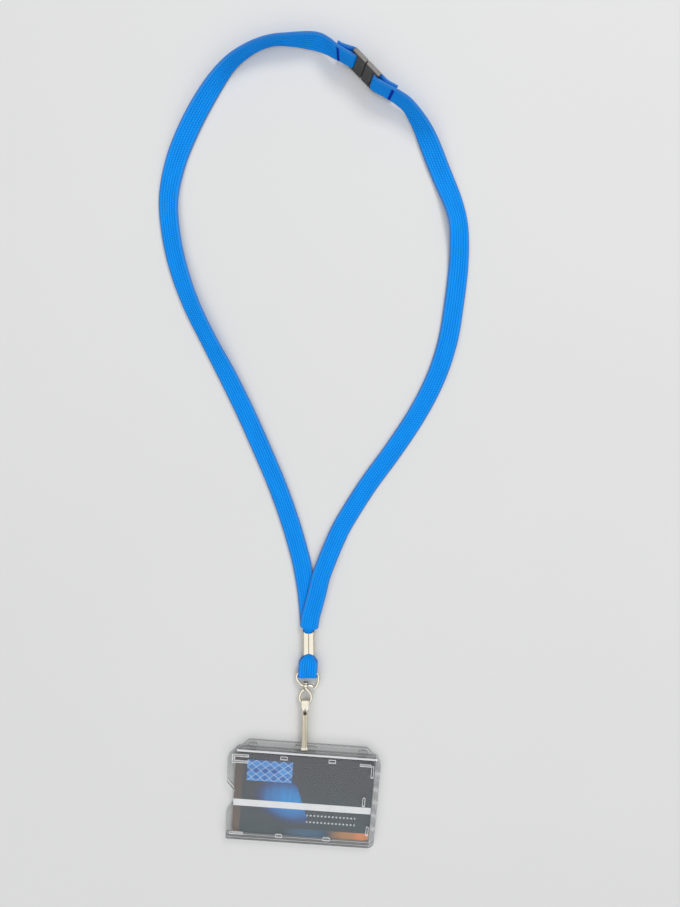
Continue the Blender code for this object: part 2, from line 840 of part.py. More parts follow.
def lobe_share_at(y):
    """How far the sheet's edges are rolled up at this distance below the knuckle."""
    rise = blend(0.0, 1.0, (-y - LOBE_START) / LOBE_FADE)
    return rise * blend(1.0, 0.0, (-y - LOBE_END) / LOBE_FADE)


def hook_section(width, lobe_share):
    outer = [
        (share * width, SHEET / 2 + LOBE_HEIGHT * height * lobe_share)
        for share, height in LOBE_SHARES
    ]
    return outer + [(width / 2, -SHEET / 2), (0.0, -SHEET / 2), (-width / 2, -SHEET / 2)]


def hook_body(frame, material):
    """Sheet metal: tip, lower leg, J bend, rolled body, knuckle and its tail."""
    low = J_HEIGHT - J_RADIUS
    places = [Vector((0, -J_BEND_DROP + J_TIP_REACH, low))]
    widths = [HOOK_WIDTH]
    lobes = [0.0]
    for step in range(2 * BEND_STEPS + 1):
        angle = math.pi * step / (2 * BEND_STEPS)
        places.append(
            Vector(
                (
                    0,
                    -J_BEND_DROP - J_RADIUS * math.sin(angle),
                    J_HEIGHT - J_RADIUS * math.cos(angle),
                )
            )
        )
        widths.append(HOOK_WIDTH)
        lobes.append(0.0)
    drops = [LOBE_END + LOBE_FADE, LOBE_END + LOBE_FADE / 2, LOBE_END]
    drops += [LOBE_START + LOBE_FADE, LOBE_START + LOBE_FADE / 2, LOBE_START]
    for drop in drops:
        places.append(Vector((0, -drop, KNUCKLE_RADIUS)))
        widths.append(blend(KNUCKLE_WIDTH, HOOK_WIDTH, (drop - LOBE_START) / LOBE_FADE))
        lobes.append(lobe_share_at(-drop))
    for step in range(2 * BEND_STEPS + 1):
        angle = math.pi * step / (2 * BEND_STEPS)
        places.append(
            Vector((0, KNUCKLE_RADIUS * math.sin(angle), KNUCKLE_RADIUS * math.cos(angle)))
        )
        widths.append(KNUCKLE_WIDTH)
        lobes.append(0.0)
    places.append(Vector((0, -KNUCKLE_TAIL, -KNUCKLE_RADIUS)))
    widths.append(KNUCKLE_WIDTH)
    lobes.append(0.0)
    sections = [hook_section(width, lobe) for width, lobe in zip(widths, lobes)]
    across = [Vector((1, 0, 0))] * len(places)
    hook = make_piece("hook_body", swept(places, across, sections), frame, material)
    outline = slot_outline(0, -HOOK_HOLE_DROP, HOOK_HOLE_WIDTH, HOOK_HOLE_LENGTH)
    hole = prism(outline, 0, KNUCKLE_RADIUS + LOBE_HEIGHT + OVERRUN)
    cut(hook, make_piece("hook_hole_cutter", hole, frame, None))


def gate_height(y):
    """Height of the gate's middle, from under the body to the J's tip."""
    start = KNUCKLE_RADIUS - SHEET / 2 - GAP - GATE_SHEET / 2
    finish = J_HEIGHT - J_RADIUS + SHEET / 2 + GAP + GATE_SHEET / 2
    run = gate_tip_drop() - GATE_PIVOT_DROP
    return start + (finish - start) * max((-y - GATE_PIVOT_DROP) / run, 0.0)


def gate_tip_drop():
    swing = math.hypot(TAB_RIM, TAB_THICKNESS) / 2
    return HOOK_SEAT_DROP - swing - GATE_TIP_CLEARANCE


def hook_gate(frame, material):
    """A flat spring: its tab stands in the body's hole and its tip rests on the J."""
    pivot = Vector((0, -GATE_PIVOT_DROP, gate_height(-GATE_PIVOT_DROP)))
    level = pivot.z
    tab = GATE_TAB_DROP
    places = [
        Vector((0, -tab, KNUCKLE_RADIUS + SHEET / 2)),
        Vector((0, -tab, KNUCKLE_RADIUS - SHEET / 2)),
        Vector((0, -(2 * tab + GATE_PIVOT_DROP) / 3, level + GAP / 2)),
        Vector((0, -GATE_PIVOT_DROP, level)),
    ]
    widths = [GATE_TAB_WIDTH, GATE_TAB_WIDTH, GATE_TAB_WIDTH, GATE_WIDTH]
    run = gate_tip_drop() - GATE_PIVOT_DROP
    for step in range(1, BEND_STEPS + 1):
        y = -GATE_PIVOT_DROP - run * step / BEND_STEPS
        places.append(Vector((0, y, gate_height(y))))
        widths.append(GATE_WIDTH)
    places = [place - pivot for place in places]
    half = GATE_SHEET / 2
    sections = [
        [(-w / 2, -half), (w / 2, -half), (w / 2, half), (-w / 2, half)] for w in widths
    ]
    across = [Vector((1, 0, 0))] * len(places)
    make_piece("hook_gate", swept(places, across, sections), frame, material)
    return pivot


# Holder. Its outlines are measured from the card's middle, and its frame lies on the
# rim above the middle slot, where the hook holds it.

CARD_LEFT, CARD_RIGHT = -CARD_WIDTH / 2, CARD_WIDTH / 2
CARD_BOTTOM, CARD_TOP = -CARD_HEIGHT / 2, CARD_HEIGHT / 2
HOLDER_LEFT = CARD_LEFT - LEFT_MARGIN
HOLDER_RIGHT = CARD_RIGHT + RIGHT_WALL
HOLDER_BOTTOM = CARD_BOTTOM - BOTTOM_WALL
RIDGE_TOP = CARD_TOP + TOP_WALL
TAB_TOP = RIDGE_TOP + TAB_HEIGHT
SLOT_MIDDLE = TAB_TOP - TAB_RIM - SLOT_HEIGHT / 2
RIM_MIDDLE = TAB_TOP - TAB_RIM / 2
TAB_LEFT = HOLDER_LEFT + TAB_LEFT_INSET
TAB_RIGHT = HOLDER_RIGHT - TAB_RIGHT_INSET
RING_BAR_HEIGHT = WIRE_RADIUS + GAP + STRAP_THICKNESS
HOLD_HEIGHT = RING_BAR_HEIGHT + J_HEIGHT
TAB_LOW = HOLD_HEIGHT - TAB_THICKNESS / 2
TAB_HIGH = HOLD_HEIGHT + TAB_THICKNESS / 2
POCKET_TOP = HOLDER_THICKNESS - HOLDER_SHEET
HOLDER_SHIFT = Vector((SLOT_OFFSET, -RIM_MIDDLE, -HOLD_HEIGHT))


def left_edge(y):
    """The holder's left edge leans a little."""
    return HOLDER_LEFT - LEFT_LEAN * y / CARD_HEIGHT


def body_outline(top):
    """The holder's body up to y = top, with the thumb notch in its left edge."""
    climb = (top - RIDGE_TOP + SHOULDER_LEFT_DROP) / SHOULDER_LEFT_DROP
    right_climb = (top - RIDGE_TOP + SHOULDER_RIGHT_DROP) / SHOULDER_RIGHT_DROP
    shoulder = RIDGE_TOP - SHOULDER_LEFT_DROP
    upper, lower = NOTCH_OUTER / 2 - NOTCH_CENTRE_DROP, -NOTCH_OUTER / 2 - NOTCH_CENTRE_DROP
    high, low = NOTCH_INNER / 2 - NOTCH_CENTRE_DROP, -NOTCH_INNER / 2 - NOTCH_CENTRE_DROP
    notch = HOLDER_LEFT + NOTCH_DEPTH
    corners = [
        (left_edge(HOLDER_BOTTOM), HOLDER_BOTTOM, HOLDER_SMALL_CORNER),
        (HOLDER_RIGHT, HOLDER_BOTTOM, HOLDER_CORNER),
        (HOLDER_RIGHT, RIDGE_TOP - SHOULDER_RIGHT_DROP, HOLDER_SMALL_CORNER),
        (HOLDER_RIGHT - TAB_FOOT_INSET * right_climb, top, 0),
        (left_edge(shoulder) + SHOULDER_LEFT_INSET * climb, top, 0),
        (left_edge(shoulder), shoulder, HOLDER_SMALL_CORNER),
        (left_edge(upper), upper, HOLDER_SMALL_CORNER),
        (notch, high, NOTCH_CORNER),
        (notch, low, NOTCH_CORNER),
        (left_edge(lower), lower, HOLDER_SMALL_CORNER),
    ]
    return rounded(corners)


def tab_outline():
    foot = RIDGE_TOP - RIDGE_WIDTH / 2
    return rounded(
        [
            (left_edge(foot) + SHOULDER_LEFT_INSET, foot, 0),
            (HOLDER_RIGHT - TAB_FOOT_INSET, foot, 0),
            (TAB_RIGHT, TAB_TOP, HOLDER_SMALL_CORNER),
            (TAB_LEFT, TAB_TOP, HOLDER_SMALL_CORNER),
        ]
    )


def holder_piece(name, bm, frame, material):
    bmesh.ops.translate(bm, verts=bm.verts, vec=HOLDER_SHIFT)
    return make_piece(name, bm, frame, material)


def card_pocket(name, low, high, frame):
    """The space for the card, open at the holder's left end."""
    pocket = box(
        (HOLDER_LEFT - OVERRUN, CARD_BOTTOM - CARD_CLEARANCE, low),
        (CARD_RIGHT + CARD_CLEARANCE, CARD_TOP + CARD_CLEARANCE, high),
    )
    return holder_piece(name, pocket, frame, None)


def back_shell(frame, material):
    bm = prism(body_outline(RIDGE_TOP), 0, HOLDER_PARTING)
    shell = holder_piece("back_shell", bm, frame, material)
    inner = RIDGE_TOP - RIDGE_WIDTH
    ridge_left = left_edge(RIDGE_TOP) + SHOULDER_LEFT_INSET
    ridge_right = HOLDER_RIGHT - TAB_FOOT_INSET
    ridge = prism(
        rectangle(ridge_left, ridge_right - FINE_GAP, inner, RIDGE_TOP - FINE_GAP),
        HOLDER_SHEET / 2,
        HOLDER_THICKNESS + RIDGE_RISE,
    )
    join(shell, holder_piece("ridge", ridge, frame, None))
    tab = prism(tab_outline(), TAB_LOW, TAB_HIGH)
    join(shell, holder_piece("tab", tab, frame, None))
    pocket = card_pocket("back_pocket_cutter", HOLDER_SHEET, HOLDER_THICKNESS + OVERRUN, frame)
    cut(shell, pocket)
    slots = (
        ("middle", -SLOT_OFFSET, SLOT_WIDTH, SLOT_HEIGHT),
        ("left", TAB_LEFT + SIDE_SLOT_INSET, SIDE_SLOT_WIDTH, SIDE_SLOT_HEIGHT),
        ("right", TAB_RIGHT - SIDE_SLOT_INSET, SIDE_SLOT_WIDTH, SIDE_SLOT_HEIGHT),
    )
    for place, x, width, height in slots:
        outline = slot_outline(x, SLOT_MIDDLE, width, height)
        cutter = prism(outline, TAB_LOW - OVERRUN, TAB_HIGH + OVERRUN)
        cut(shell, holder_piece(f"tab_slot_cutter_{place}", cutter, frame, None))


def front_cover(frame, material):
    top = RIDGE_TOP - RIDGE_WIDTH - GAP
    bm = prism(body_outline(top), HOLDER_PARTING + GAP, HOLDER_THICKNESS)
    cover = holder_piece("front_cover", bm, frame, material)
    cut(cover, card_pocket("front_pocket_cutter", 0, POCKET_TOP, frame))
    slit = WINDOW_SLIT
    clip_left = CARD_LEFT - CLIP_WINDOW_INSET + slit
    clip_right = clip_left + CLIP_WINDOW_WIDTH
    clip_top = CARD_TOP - slit / 2
    clip_bottom = clip_top - CLIP_WINDOW_HEIGHT
    foot = CARD_BOTTOM + slit / 2
    corner_right = CARD_RIGHT - slit
    corner_top = CARD_TOP - CORNER_WINDOW_DROP
    corner_left = corner_right - CORNER_WINDOW
    corner_low = corner_top - CORNER_WINDOW
    windows = [
        rectangle(clip_left, clip_right, clip_top - slit, clip_top),
        rectangle(clip_left, clip_right, clip_bottom, clip_bottom + slit),
        rectangle(clip_left, clip_left + slit, clip_bottom, clip_top),
        rectangle(clip_left + slit, clip_right - slit, foot, foot + slit),
        rectangle(corner_left, corner_right - 2 * slit, corner_top - slit, corner_top),
        rectangle(corner_right - slit, corner_right, corner_low, corner_top - slit),
    ]
    for side in (-1, 1):
        x = RAIL_WINDOW_OFFSET + side * RAIL_WINDOW_SPREAD
        left, right = x - RAIL_WINDOW_WIDTH / 2, x + RAIL_WINDOW_WIDTH / 2
        windows.append(rectangle(left, right, CARD_TOP - RAIL_WINDOW_HEIGHT, CARD_TOP))
        windows.append(rectangle(left, right, CARD_BOTTOM, CARD_BOTTOM + RAIL_WINDOW_HEIGHT))
    for inset, y in zip(EDGE_WINDOW_INSETS, EDGE_WINDOW_CENTRES):
        x = CARD_RIGHT - inset
        half = EDGE_WINDOW_LENGTH / 2
        windows.append(rectangle(x - slit, x, y - half, y + half))
    for number, outline in enumerate(windows):
        cutter = prism(outline, POCKET_TOP - OVERRUN / 4, HOLDER_THICKNESS + OVERRUN)
        cut(cover, holder_piece(f"window_cutter_{number}", cutter, frame, None))


def card(frame, material):
    corners = [
        (x, y, CARD_CORNER)
        for x, y in rectangle(CARD_LEFT, CARD_RIGHT, CARD_BOTTOM, CARD_TOP)
    ]
    low = HOLDER_SHEET + GAP
    bm = prism(rounded(corners), low, low + CARD_THICKNESS)
    holder_piece("card", bm, frame, material)


def label_strip(frame, material):
    low = HOLDER_SHEET + GAP + CARD_THICKNESS + FINE_GAP
    top = -LABEL_DROP + LABEL_HEIGHT / 2
    outline = rectangle(CARD_LEFT, CARD_RIGHT, top - LABEL_HEIGHT, top)
    bm = prism(outline, low, low + LABEL_THICKNESS)
    holder_piece("label_strip", bm, frame, material)


def lowest_and_highest():
    """Corners of the box round every visible piece."""
    bpy.context.view_layer.update()
    graph = bpy.context.evaluated_depsgraph_get()
    low, high = Vector((math.inf,) * 3), Vector((-math.inf,) * 3)
    for obj in bpy.context.scene.objects:
        if obj.type != "MESH" or obj.hide_render:
            continue
        evaluated = obj.evaluated_get(graph)
        for vertex in evaluated.to_mesh().vertices:
            place = obj.matrix_world @ vertex.co
            low = Vector(map(min, low, place))
            high = Vector(map(max, high, place))
        evaluated.to_mesh_clear()
    return low, high


def main():
    clear_scene()
    webbing = make_material("webbing_blue", (0.006, 0.14, 0.75), 0.75)
    thread = make_material("thread_blue", (0.01, 0.03, 0.45), 0.8)
    black = make_material("clasp_black", (0.02, 0.02, 0.022), 0.45)
    nickel = make_material("nickel_plate", (0.75, 0.72, 0.66), 0.25, metallic=1.0)
    spring = make_material("spring_steel", (0.62, 0.61, 0.58), 0.3, metallic=1.0)
    clear = make_material("clear_plastic", (0.86, 0.88, 0.9), 0.08, alpha=0.3)
    print_face = make_material("card_print", (0.03, 0.045, 0.07), 0.35)
    paper = make_material("label_white", (0.85, 0.84, 0.82), 0.7)

    root = joint_frame("neck_strap_frame", None, Matrix())
    tacks = []
    for name, shares, layer, side in (
        ("strap_left", LEFT_ROUTE_SHARES, LOWER_LAYER, -1),
        ("strap_right", RIGHT_ROUTE_SHARES, UPPER_LAYER, 1),
    ):
        tacks.append(strap_leg(name, shares, layer, side, root, webbing))
    strap_ring_loop(root, webbing)
    crimp_sleeve(root, nickel)
    bar_tack("bar_tack_left", *tacks[0], root, thread)
    bar_tack("bar_tack_right", *tacks[1], root, thread)

    socket_frame = joint_frame("clasp_socket_frame", root, CLASP_FRAME)
    clasp_socket(socket_frame, black)
    plug_frame = joint_frame("clasp_plug_frame", root, CLASP_FRAME)
    clasp_plug(plug_frame, black)

    ring_place = Matrix.Translation((RING_OFFSET, -RING_BAR_DROP, RING_BAR_HEIGHT))
    lean = Matrix.Rotation(math.radians(HARDWARE_LEAN), 4, "Z")
    ring_frame = joint_frame("strap_ring_frame", root, ring_place @ lean)
    strap_ring(ring_frame, nickel)
    swivel_place = Matrix.Translation((SWIVEL_OFFSET, -RING_DROP, 0))
    swivel_frame = joint_frame("swivel_frame", ring_frame, swivel_place)
    swivel_eye(swivel_frame, nickel)
    hook_frame = joint_frame("hook_frame", swivel_frame, Matrix.Translation((0, -EYE_DROP, 0)))
    hook_body(hook_frame, nickel)
    gate_frame = joint_frame("gate_frame", hook_frame, Matrix())
    gate_frame.location = hook_gate(gate_frame, spring)

    seat = Vector((HOOK_SIDE_PLAY, -HOOK_SEAT_DROP, J_HEIGHT))
    holder_turn = Matrix.Rotation(math.radians(HOLDER_LEAN - HARDWARE_LEAN), 4, "Z")
    holder_frame = joint_frame("holder_frame", hook_frame, Matrix.Translation(seat) @ holder_turn)
    back_shell(holder_frame, clear)
    front_cover(holder_frame, clear)
    card_frame = joint_frame("card_frame", holder_frame, Matrix())
    card(card_frame, print_face)
    label_strip(card_frame, paper)

    low, high = lowest_and_highest()
    middle = (low + high) / 2
    root.location = (-middle.x, -middle.y, -low.z)
    bpy.context.view_layer.update()


main()
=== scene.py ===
"""Looks of the lanyard card holder: woven neck strap, nickel hardware, clear holder and card.

The construction is loaded as a fixed frame; metres, +Z up, +Y from the holder to the clasp.
"""

import json
import math

import bmesh
import bpy
from bpy.props import FloatProperty, FloatVectorProperty, PointerProperty
from mathutils import Matrix, Vector


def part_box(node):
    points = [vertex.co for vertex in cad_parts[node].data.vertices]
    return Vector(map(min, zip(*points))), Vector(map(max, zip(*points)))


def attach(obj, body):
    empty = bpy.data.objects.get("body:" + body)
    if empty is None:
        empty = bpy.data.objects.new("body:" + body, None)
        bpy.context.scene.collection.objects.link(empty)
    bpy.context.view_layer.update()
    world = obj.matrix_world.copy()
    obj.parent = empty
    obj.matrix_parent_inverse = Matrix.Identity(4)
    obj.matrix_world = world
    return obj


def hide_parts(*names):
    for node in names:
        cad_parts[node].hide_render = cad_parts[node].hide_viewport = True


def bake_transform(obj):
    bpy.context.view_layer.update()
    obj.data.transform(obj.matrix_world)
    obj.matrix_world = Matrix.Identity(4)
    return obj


bl_info = {
    "name": "Lanyard Card Holder",
    "version": (1, 0, 0),
    "blender": (4, 5, 0),
    "location": "View3D > Sidebar > Lanyard",
    "description": "Builds the looks of a lanyard with a rigid card holder",
    "category": "Object",
}

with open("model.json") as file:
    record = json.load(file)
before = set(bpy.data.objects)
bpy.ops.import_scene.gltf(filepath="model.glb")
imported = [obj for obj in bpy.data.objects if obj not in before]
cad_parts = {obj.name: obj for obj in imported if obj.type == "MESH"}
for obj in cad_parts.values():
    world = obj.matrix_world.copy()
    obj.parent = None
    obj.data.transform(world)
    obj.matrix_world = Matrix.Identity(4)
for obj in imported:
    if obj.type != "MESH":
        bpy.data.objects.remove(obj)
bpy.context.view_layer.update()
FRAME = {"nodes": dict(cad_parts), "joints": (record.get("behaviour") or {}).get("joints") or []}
NODES = FRAME["nodes"]
JOINT_PLACES = {
    joint["name"]: Vector(joint["pos_m"]) for joint in FRAME["joints"] if "pos_m" in joint
}

# Webbing of the neck strap
STRAP_WIDTH = 0.0110
STRAP_THICKNESS = 0.0016
NECK_LENGTH = 0.0026
STRAP_RIBS = 7
RIB_DEPTH = 0.00016
RIB_STEPS = 4
EDGE_STEPS = 6
RIB_CROWN = 0.7
GAP = 0.0003
FINE_GAP = 0.0001

# Neck loop
LOOP_LENGTH = 0.335
LOOP_WIDTH = 0.160
CRIMP_LENGTH = 0.0152
CRIMP_STRAP_WIDTH = 0.0056
CRIMP_WALL = 0.00045
CRIMP_CLEARANCE = 0.0002

# Breakaway clasp
CLASP_PLACE_SHARES = (0.1975, 0.9492)
CLASP_HEADING = -44.0
CLASP_ROLL = 75.0
CLASP_HALF_LENGTH = 0.0093
CLASP_WIDTH = 0.0138
CLASP_THICKNESS = 0.0027
CLASP_BAR_RADIUS = 0.0006
CLASP_BAR_INSET = 0.00085

# Folded strap ends
FOLD_TURN = 18.0
FOLD_RUN = 0.0045
FOLD_CLOSING_LENGTH = 0.0065
LEFT_TACK_DISTANCE = 0.0157
RIGHT_TACK_DISTANCE = 0.0183
FOLD_END_BEYOND_TACK = 0.0015
TACK_WIDTH = 0.0086
TACK_LENGTH = 0.0016
THREAD_RADIUS = 0.00019
THREAD_SINK = 0.6
TACK_STROKES = 27

# Wire ring and swivel eye
WIRE_RADIUS = 0.0009
RING_BAR_DROP = 0.0196
RING_OFFSET = -0.0008
RING_HALF_WIDTH = 0.0065
RING_DROP = 0.0076
RING_LOOP_WIDTH = 0.0114
RING_NECK_LENGTH = 0.0052
HARDWARE_LEAN = -1.5
SWIVEL_OFFSET = -0.00105
EYELET_RADIUS = 0.0017
EYELET_LENGTH = 0.0020
# Share of the eyelet's radius at which the ring's wire ends
EYELET_ENTRY = 0.8
SHANK_RADIUS = 0.00075
HEAD_RADIUS = 0.0016
HEAD_THICKNESS = 0.0009
HEAD_ROUNDING = 0.35
EYE_DROP = 0.0110
EYE_HALF_WIDTH = 0.0036
SHANK_TAPER = EYE_DROP / 8

# The crimp's middle, where the routes start, from the ring's joint
RING_BAR_HEIGHT = WIRE_RADIUS + GAP + STRAP_THICKNESS
CRIMP_PLACE = JOINT_PLACES["ring_swing"] - Vector((RING_OFFSET, -RING_BAR_DROP, RING_BAR_HEIGHT))

# Folded sheet of the crimp and the hook. A seam is drawn longer than its piece, and its
# depth is how much darker it is, from 0 to 1.
SHEET_EDGE = 0.00012
SEAM_HALF_WIDTH = 0.00022
SEAM_LENGTH = 2 * CRIMP_LENGTH
CRIMP_SEAM_DEPTH = 0.85
HOOK_SEAM_DEPTH = 0.3
# Painted shade on the gate where it shows in the hook's hole: how much darker, from 0 to 1
HOOK_HOLE_SHADE_DEPTH = 0.85
HOOK_SEAM_DROP = 0.0070
HOOK_HOLE_LENGTH = 0.0040
HOOK_SLANT = -0.0065

# Holder and card
CARD_WIDTH = 0.0856
CARD_HEIGHT = 0.0540
HOLDER_CLEARANCE = 0.0002
HOLDER_THICKNESS = 0.0046
RIDGE_RISE = 0.0004
HOLDER_LEAN = -4.4
# Windows of the front cover: left, right, low and high side
WINDOWS = (
    (-0.0445, -0.0350, 0.02565, 0.02655),
    (-0.0445, -0.0350, 0.02155, 0.02245),
    (-0.0445, -0.0436, 0.02155, 0.02655),
    (-0.0436, -0.0359, -0.02655, -0.02565),
    (0.0337, 0.0401, 0.0247, 0.0256),
    (0.0410, 0.0419, 0.0174, 0.0247),
    (-0.01505, -0.01135, 0.0254, 0.0270),
    (0.01455, 0.01825, 0.0254, 0.0270),
    (-0.01505, -0.01135, -0.0270, -0.0254),
    (0.01455, 0.01825, -0.0270, -0.0254),
    (0.0373, 0.0382, -0.00205, 0.00325),
    (0.0409, 0.0418, -0.02155, -0.01625),
)
WINDOW_RIM = 0.0004
WALL_MARKS = (0.0200, 0.0095, 0.0010, -0.0080, -0.0170)
WALL_MARK_REACH = 0.0012
TAB_BEGINS = 0.004
CARD_LOW, CARD_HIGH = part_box("card")
CARD_PLACE = (Vector(CARD_LOW) + Vector(CARD_HIGH)) / 2
HOLDER_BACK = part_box("back_shell")[0][2]

# The card's print, from the card's middle
PRINT_EDGE = 0.0003
BAND_RIGHT = -0.0382
FOOT_BAND_TOP = -0.0222
# Tints along the foot: where they begin and end, and how softly
FOOT_BLUE = (-0.006, 0.016, 0.012)
FOOT_WARM = (0.021, 0.010)
FOOT_AMBER = (0.034, 0.004)
GLOW_PLACE = (-0.010, -0.004)
GLOW_SIZE = (0.022, 0.016)
GLOW_SLANT = 0.35
GLOW_EDGE = -0.0015
PANEL_PLACE = (-0.0215, 0.0155)
LOZENGE = (0.0056, 0.0046)
PANEL_SHARES = (2.5, 1.5)
RULE_HEIGHTS = (-0.0125, -0.0170)
RULE_ENDS = (0.0032, 0.0336)
RULE_PITCH = 0.0023
RULE_DOT = 0.0006

# Tones of the finishes
SHEEN_TONE = (0.05, 0.45, 1.0, 1.0)
SELVEDGE_HIGHLIGHT_TONE = (0.09, 0.33, 0.80)
BLACK_TONES = ((0.012, 0.011, 0.010), (0.030, 0.028, 0.025))
RUBBED_TONE = (0.085, 0.080, 0.072)
UPPER_FACE_HIGHLIGHT_TONE = (0.155, 0.142, 0.124)
STEEP_SIDE_SHADE_TONE = (0.26, 0.23, 0.18)
SEAM_AND_SHADE_TONE = (0.10, 0.075, 0.055)
WALL_SHADE_TONE = (0.16, 0.17, 0.18)
SIDE_TONE = (0.17, 0.18, 0.19)
OVER_CARD_TONE = (0.86, 0.87, 0.89)
MILK_AND_HIGHLIGHT_TONE = (0.95, 0.96, 0.98)
GLOW_TONES = ((0.035, 0.035, 0.20), (0.010, 0.36, 0.85))
FOOT_BLUE_TONE = (0.035, 0.16, 0.33)
AMBER_TONES = ((0.50, 0.24, 0.09), (0.78, 0.27, 0.09))
TAUPE_TONES = ((0.085, 0.068, 0.056), (0.165, 0.115, 0.088))
LOZENGE_TONES = ((0.008, 0.11, 0.42), (0.07, 0.34, 0.78))
LOZENGE_RIM_TONE = (0.62, 0.76, 0.92)
DOT_TONE = (0.70, 0.72, 0.74)
CARD_GRAIN_TONE = (0.35, 0.35, 0.36)
LABEL_TONES = ((0.84, 0.86, 0.88), (0.93, 0.94, 0.94))
LABEL_FIBRE_TONE = (0.62, 0.63, 0.66)
FLOOR_TONES = ((0.70, 0.70, 0.69), (0.73, 0.73, 0.72))
WORLD_TONE = (0.95, 0.97, 1.0, 1.0)

# Steps of the round forms
STEPS_PER_SPAN = 14
BEND_STEPS = 14
BEND_ANGLES = [math.pi * step / BEND_STEPS for step in range(1, BEND_STEPS)]
WIRE_STEPS = 10

# Smoothing and merging: angles in degrees
ROUND_ANGLE = 60.0
RIB_ANGLE = 50.0
SHEET_ANGLE = 50.0
FLAT_ANGLE = 0.5
MERGE_DISTANCE = 0.000002

# The straps' routes, from the crimp's mouth to the clasp, as listed places: the
# share of the loop's width to the right of the crimp, the share of the loop's length
# above it, the share of the strap's thickness that its underside is lifted, and the roll
# in degrees.
LEFT_ROUTE_SHARES = (
    (0.002, 0.034, 0.05, 0.0),
    (0.0, 0.050, 0.0, 0.0),
    (-0.0065, 0.090, 0.0, 0.0),
    (-0.018, 0.128, 0.0, 0.0),
    (-0.033, 0.163, 0.0, 0.0),
    (-0.066, 0.221, 0.0, 3.0),
    (-0.111, 0.285, 0.0, 5.0),
    (-0.163, 0.347, 0.0, 6.0),
    (-0.218, 0.409, 0.0, 8.0),
    (-0.277, 0.470, 0.0, 13.0),
    (-0.340, 0.530, 0.0, 25.0),
    (-0.399, 0.590, 0.0, 22.0),
    (-0.440, 0.648, 0.0, 15.0),
    (-0.463, 0.705, 0.0, 12.0),
    (-0.467, 0.761, 0.0, 6.0),
    (-0.439, 0.816, 0.0, -8.0),
    (-0.386, 0.869, 0.0, -24.0),
    (-0.319, 0.919, 0.0, -42.0),
    (-0.250, 0.958, 0.0, -66.0),
    (-0.181, 0.981, 0.0, -80.0),
    (-0.113, 0.993, 0.0, -85.0),
    (-0.047, 0.995, 0.0, -79.0),
    (0.017, 0.994, 0.0, -65.0),
    (0.050, 0.991, 0.10, -61.0),
    (0.0775, 0.9848, 0.45, -67.0),
    (0.1025, 0.9764, 0.90, -73.0),
)
RIGHT_ROUTE_SHARES = (
    (0.003, 0.034, 1.35, 0.0),
    (0.0085, 0.050, 1.25, 0.0),
    (0.018, 0.066, 1.20, 0.0),
    (0.031, 0.090, 1.20, 0.0),
    (0.047, 0.122, 1.20, 0.0),
    (0.072, 0.155, 1.10, 0.0),
    (0.101, 0.188, 0.50, 0.0),
    (0.134, 0.220, 0.08, 0.0),
    (0.217, 0.2845, 0.0, 0.0),
    (0.3085, 0.346, 0.0, 0.0),
    (0.392, 0.408, 0.0, 0.0),
    (0.456, 0.470, 0.0, 3.0),
    (0.495, 0.530, 0.0, 4.0),
    (0.514, 0.590, 0.0, 2.0),
    (0.526, 0.648, 0.0, 0.0),
    (0.527, 0.693, 0.0, -8.0),
    (0.520, 0.725, 0.0, -16.0),
    (0.500, 0.756, 0.0, -8.0),
    (0.469, 0.789, 0.0, 4.0),
    (0.442, 0.817, 0.0, 12.0),
    (0.415, 0.845, 0.0, 26.0),
    (0.3855, 0.8705, 0.0, 48.0),
    (0.3445, 0.8965, 0.25, 66.0),
    (0.3125, 0.9080, 0.50, 72.0),
    (0.2880, 0.9140, 0.75, 75.0),
)
# Where the right strap would start to bend when the clasp opens; the place is worked out, but
# nothing bends
BEND_START_SHARES = (0.339, 0.870)


# Properties that a user would change


class LanyardSettings(bpy.types.PropertyGroup):
    """Sizes and colours of the lanyard's finish."""

    webbing_colour: FloatVectorProperty(
        name="Webbing",
        description="Colour of the neck strap",
        subtype="COLOR",
        size=3,
        min=0.0,
        max=1.0,
        default=(0.002, 0.250, 1.000),
    )
    thread_colour: FloatVectorProperty(
        name="Thread",
        description="Colour of the bar tacks",
        subtype="COLOR",
        size=3,
        min=0.0,
        max=1.0,
        default=(0.006, 0.030, 0.560),
    )
    nickel_colour: FloatVectorProperty(
        name="Nickel",
        description="Colour of the plated hardware",
        subtype="COLOR",
        size=3,
        min=0.0,
        max=1.0,
        default=(0.86, 0.80, 0.66),
    )
    card_colour: FloatVectorProperty(
        name="Card",
        description="Main colour of the card's print",
        subtype="COLOR",
        size=3,
        min=0.0,
        max=1.0,
        default=(0.046, 0.048, 0.056),
    )
    weave_pitch: FloatProperty(
        name="Weave pitch",
        description="Distance between the webbing's cross threads",
        unit="LENGTH",
        default=0.0014,
        min=0.0002,
        max=0.003,
        precision=5,
    )
    edge_radius: FloatProperty(
        name="Edge radius",
        description="Rounding of the moulded edges",
        unit="LENGTH",
        default=0.00024,
        min=0.00002,
        max=0.0005,
        precision=5,
    )


def settings():
    """The values in the panel."""
    return bpy.context.scene.lanyard


# Shader maths


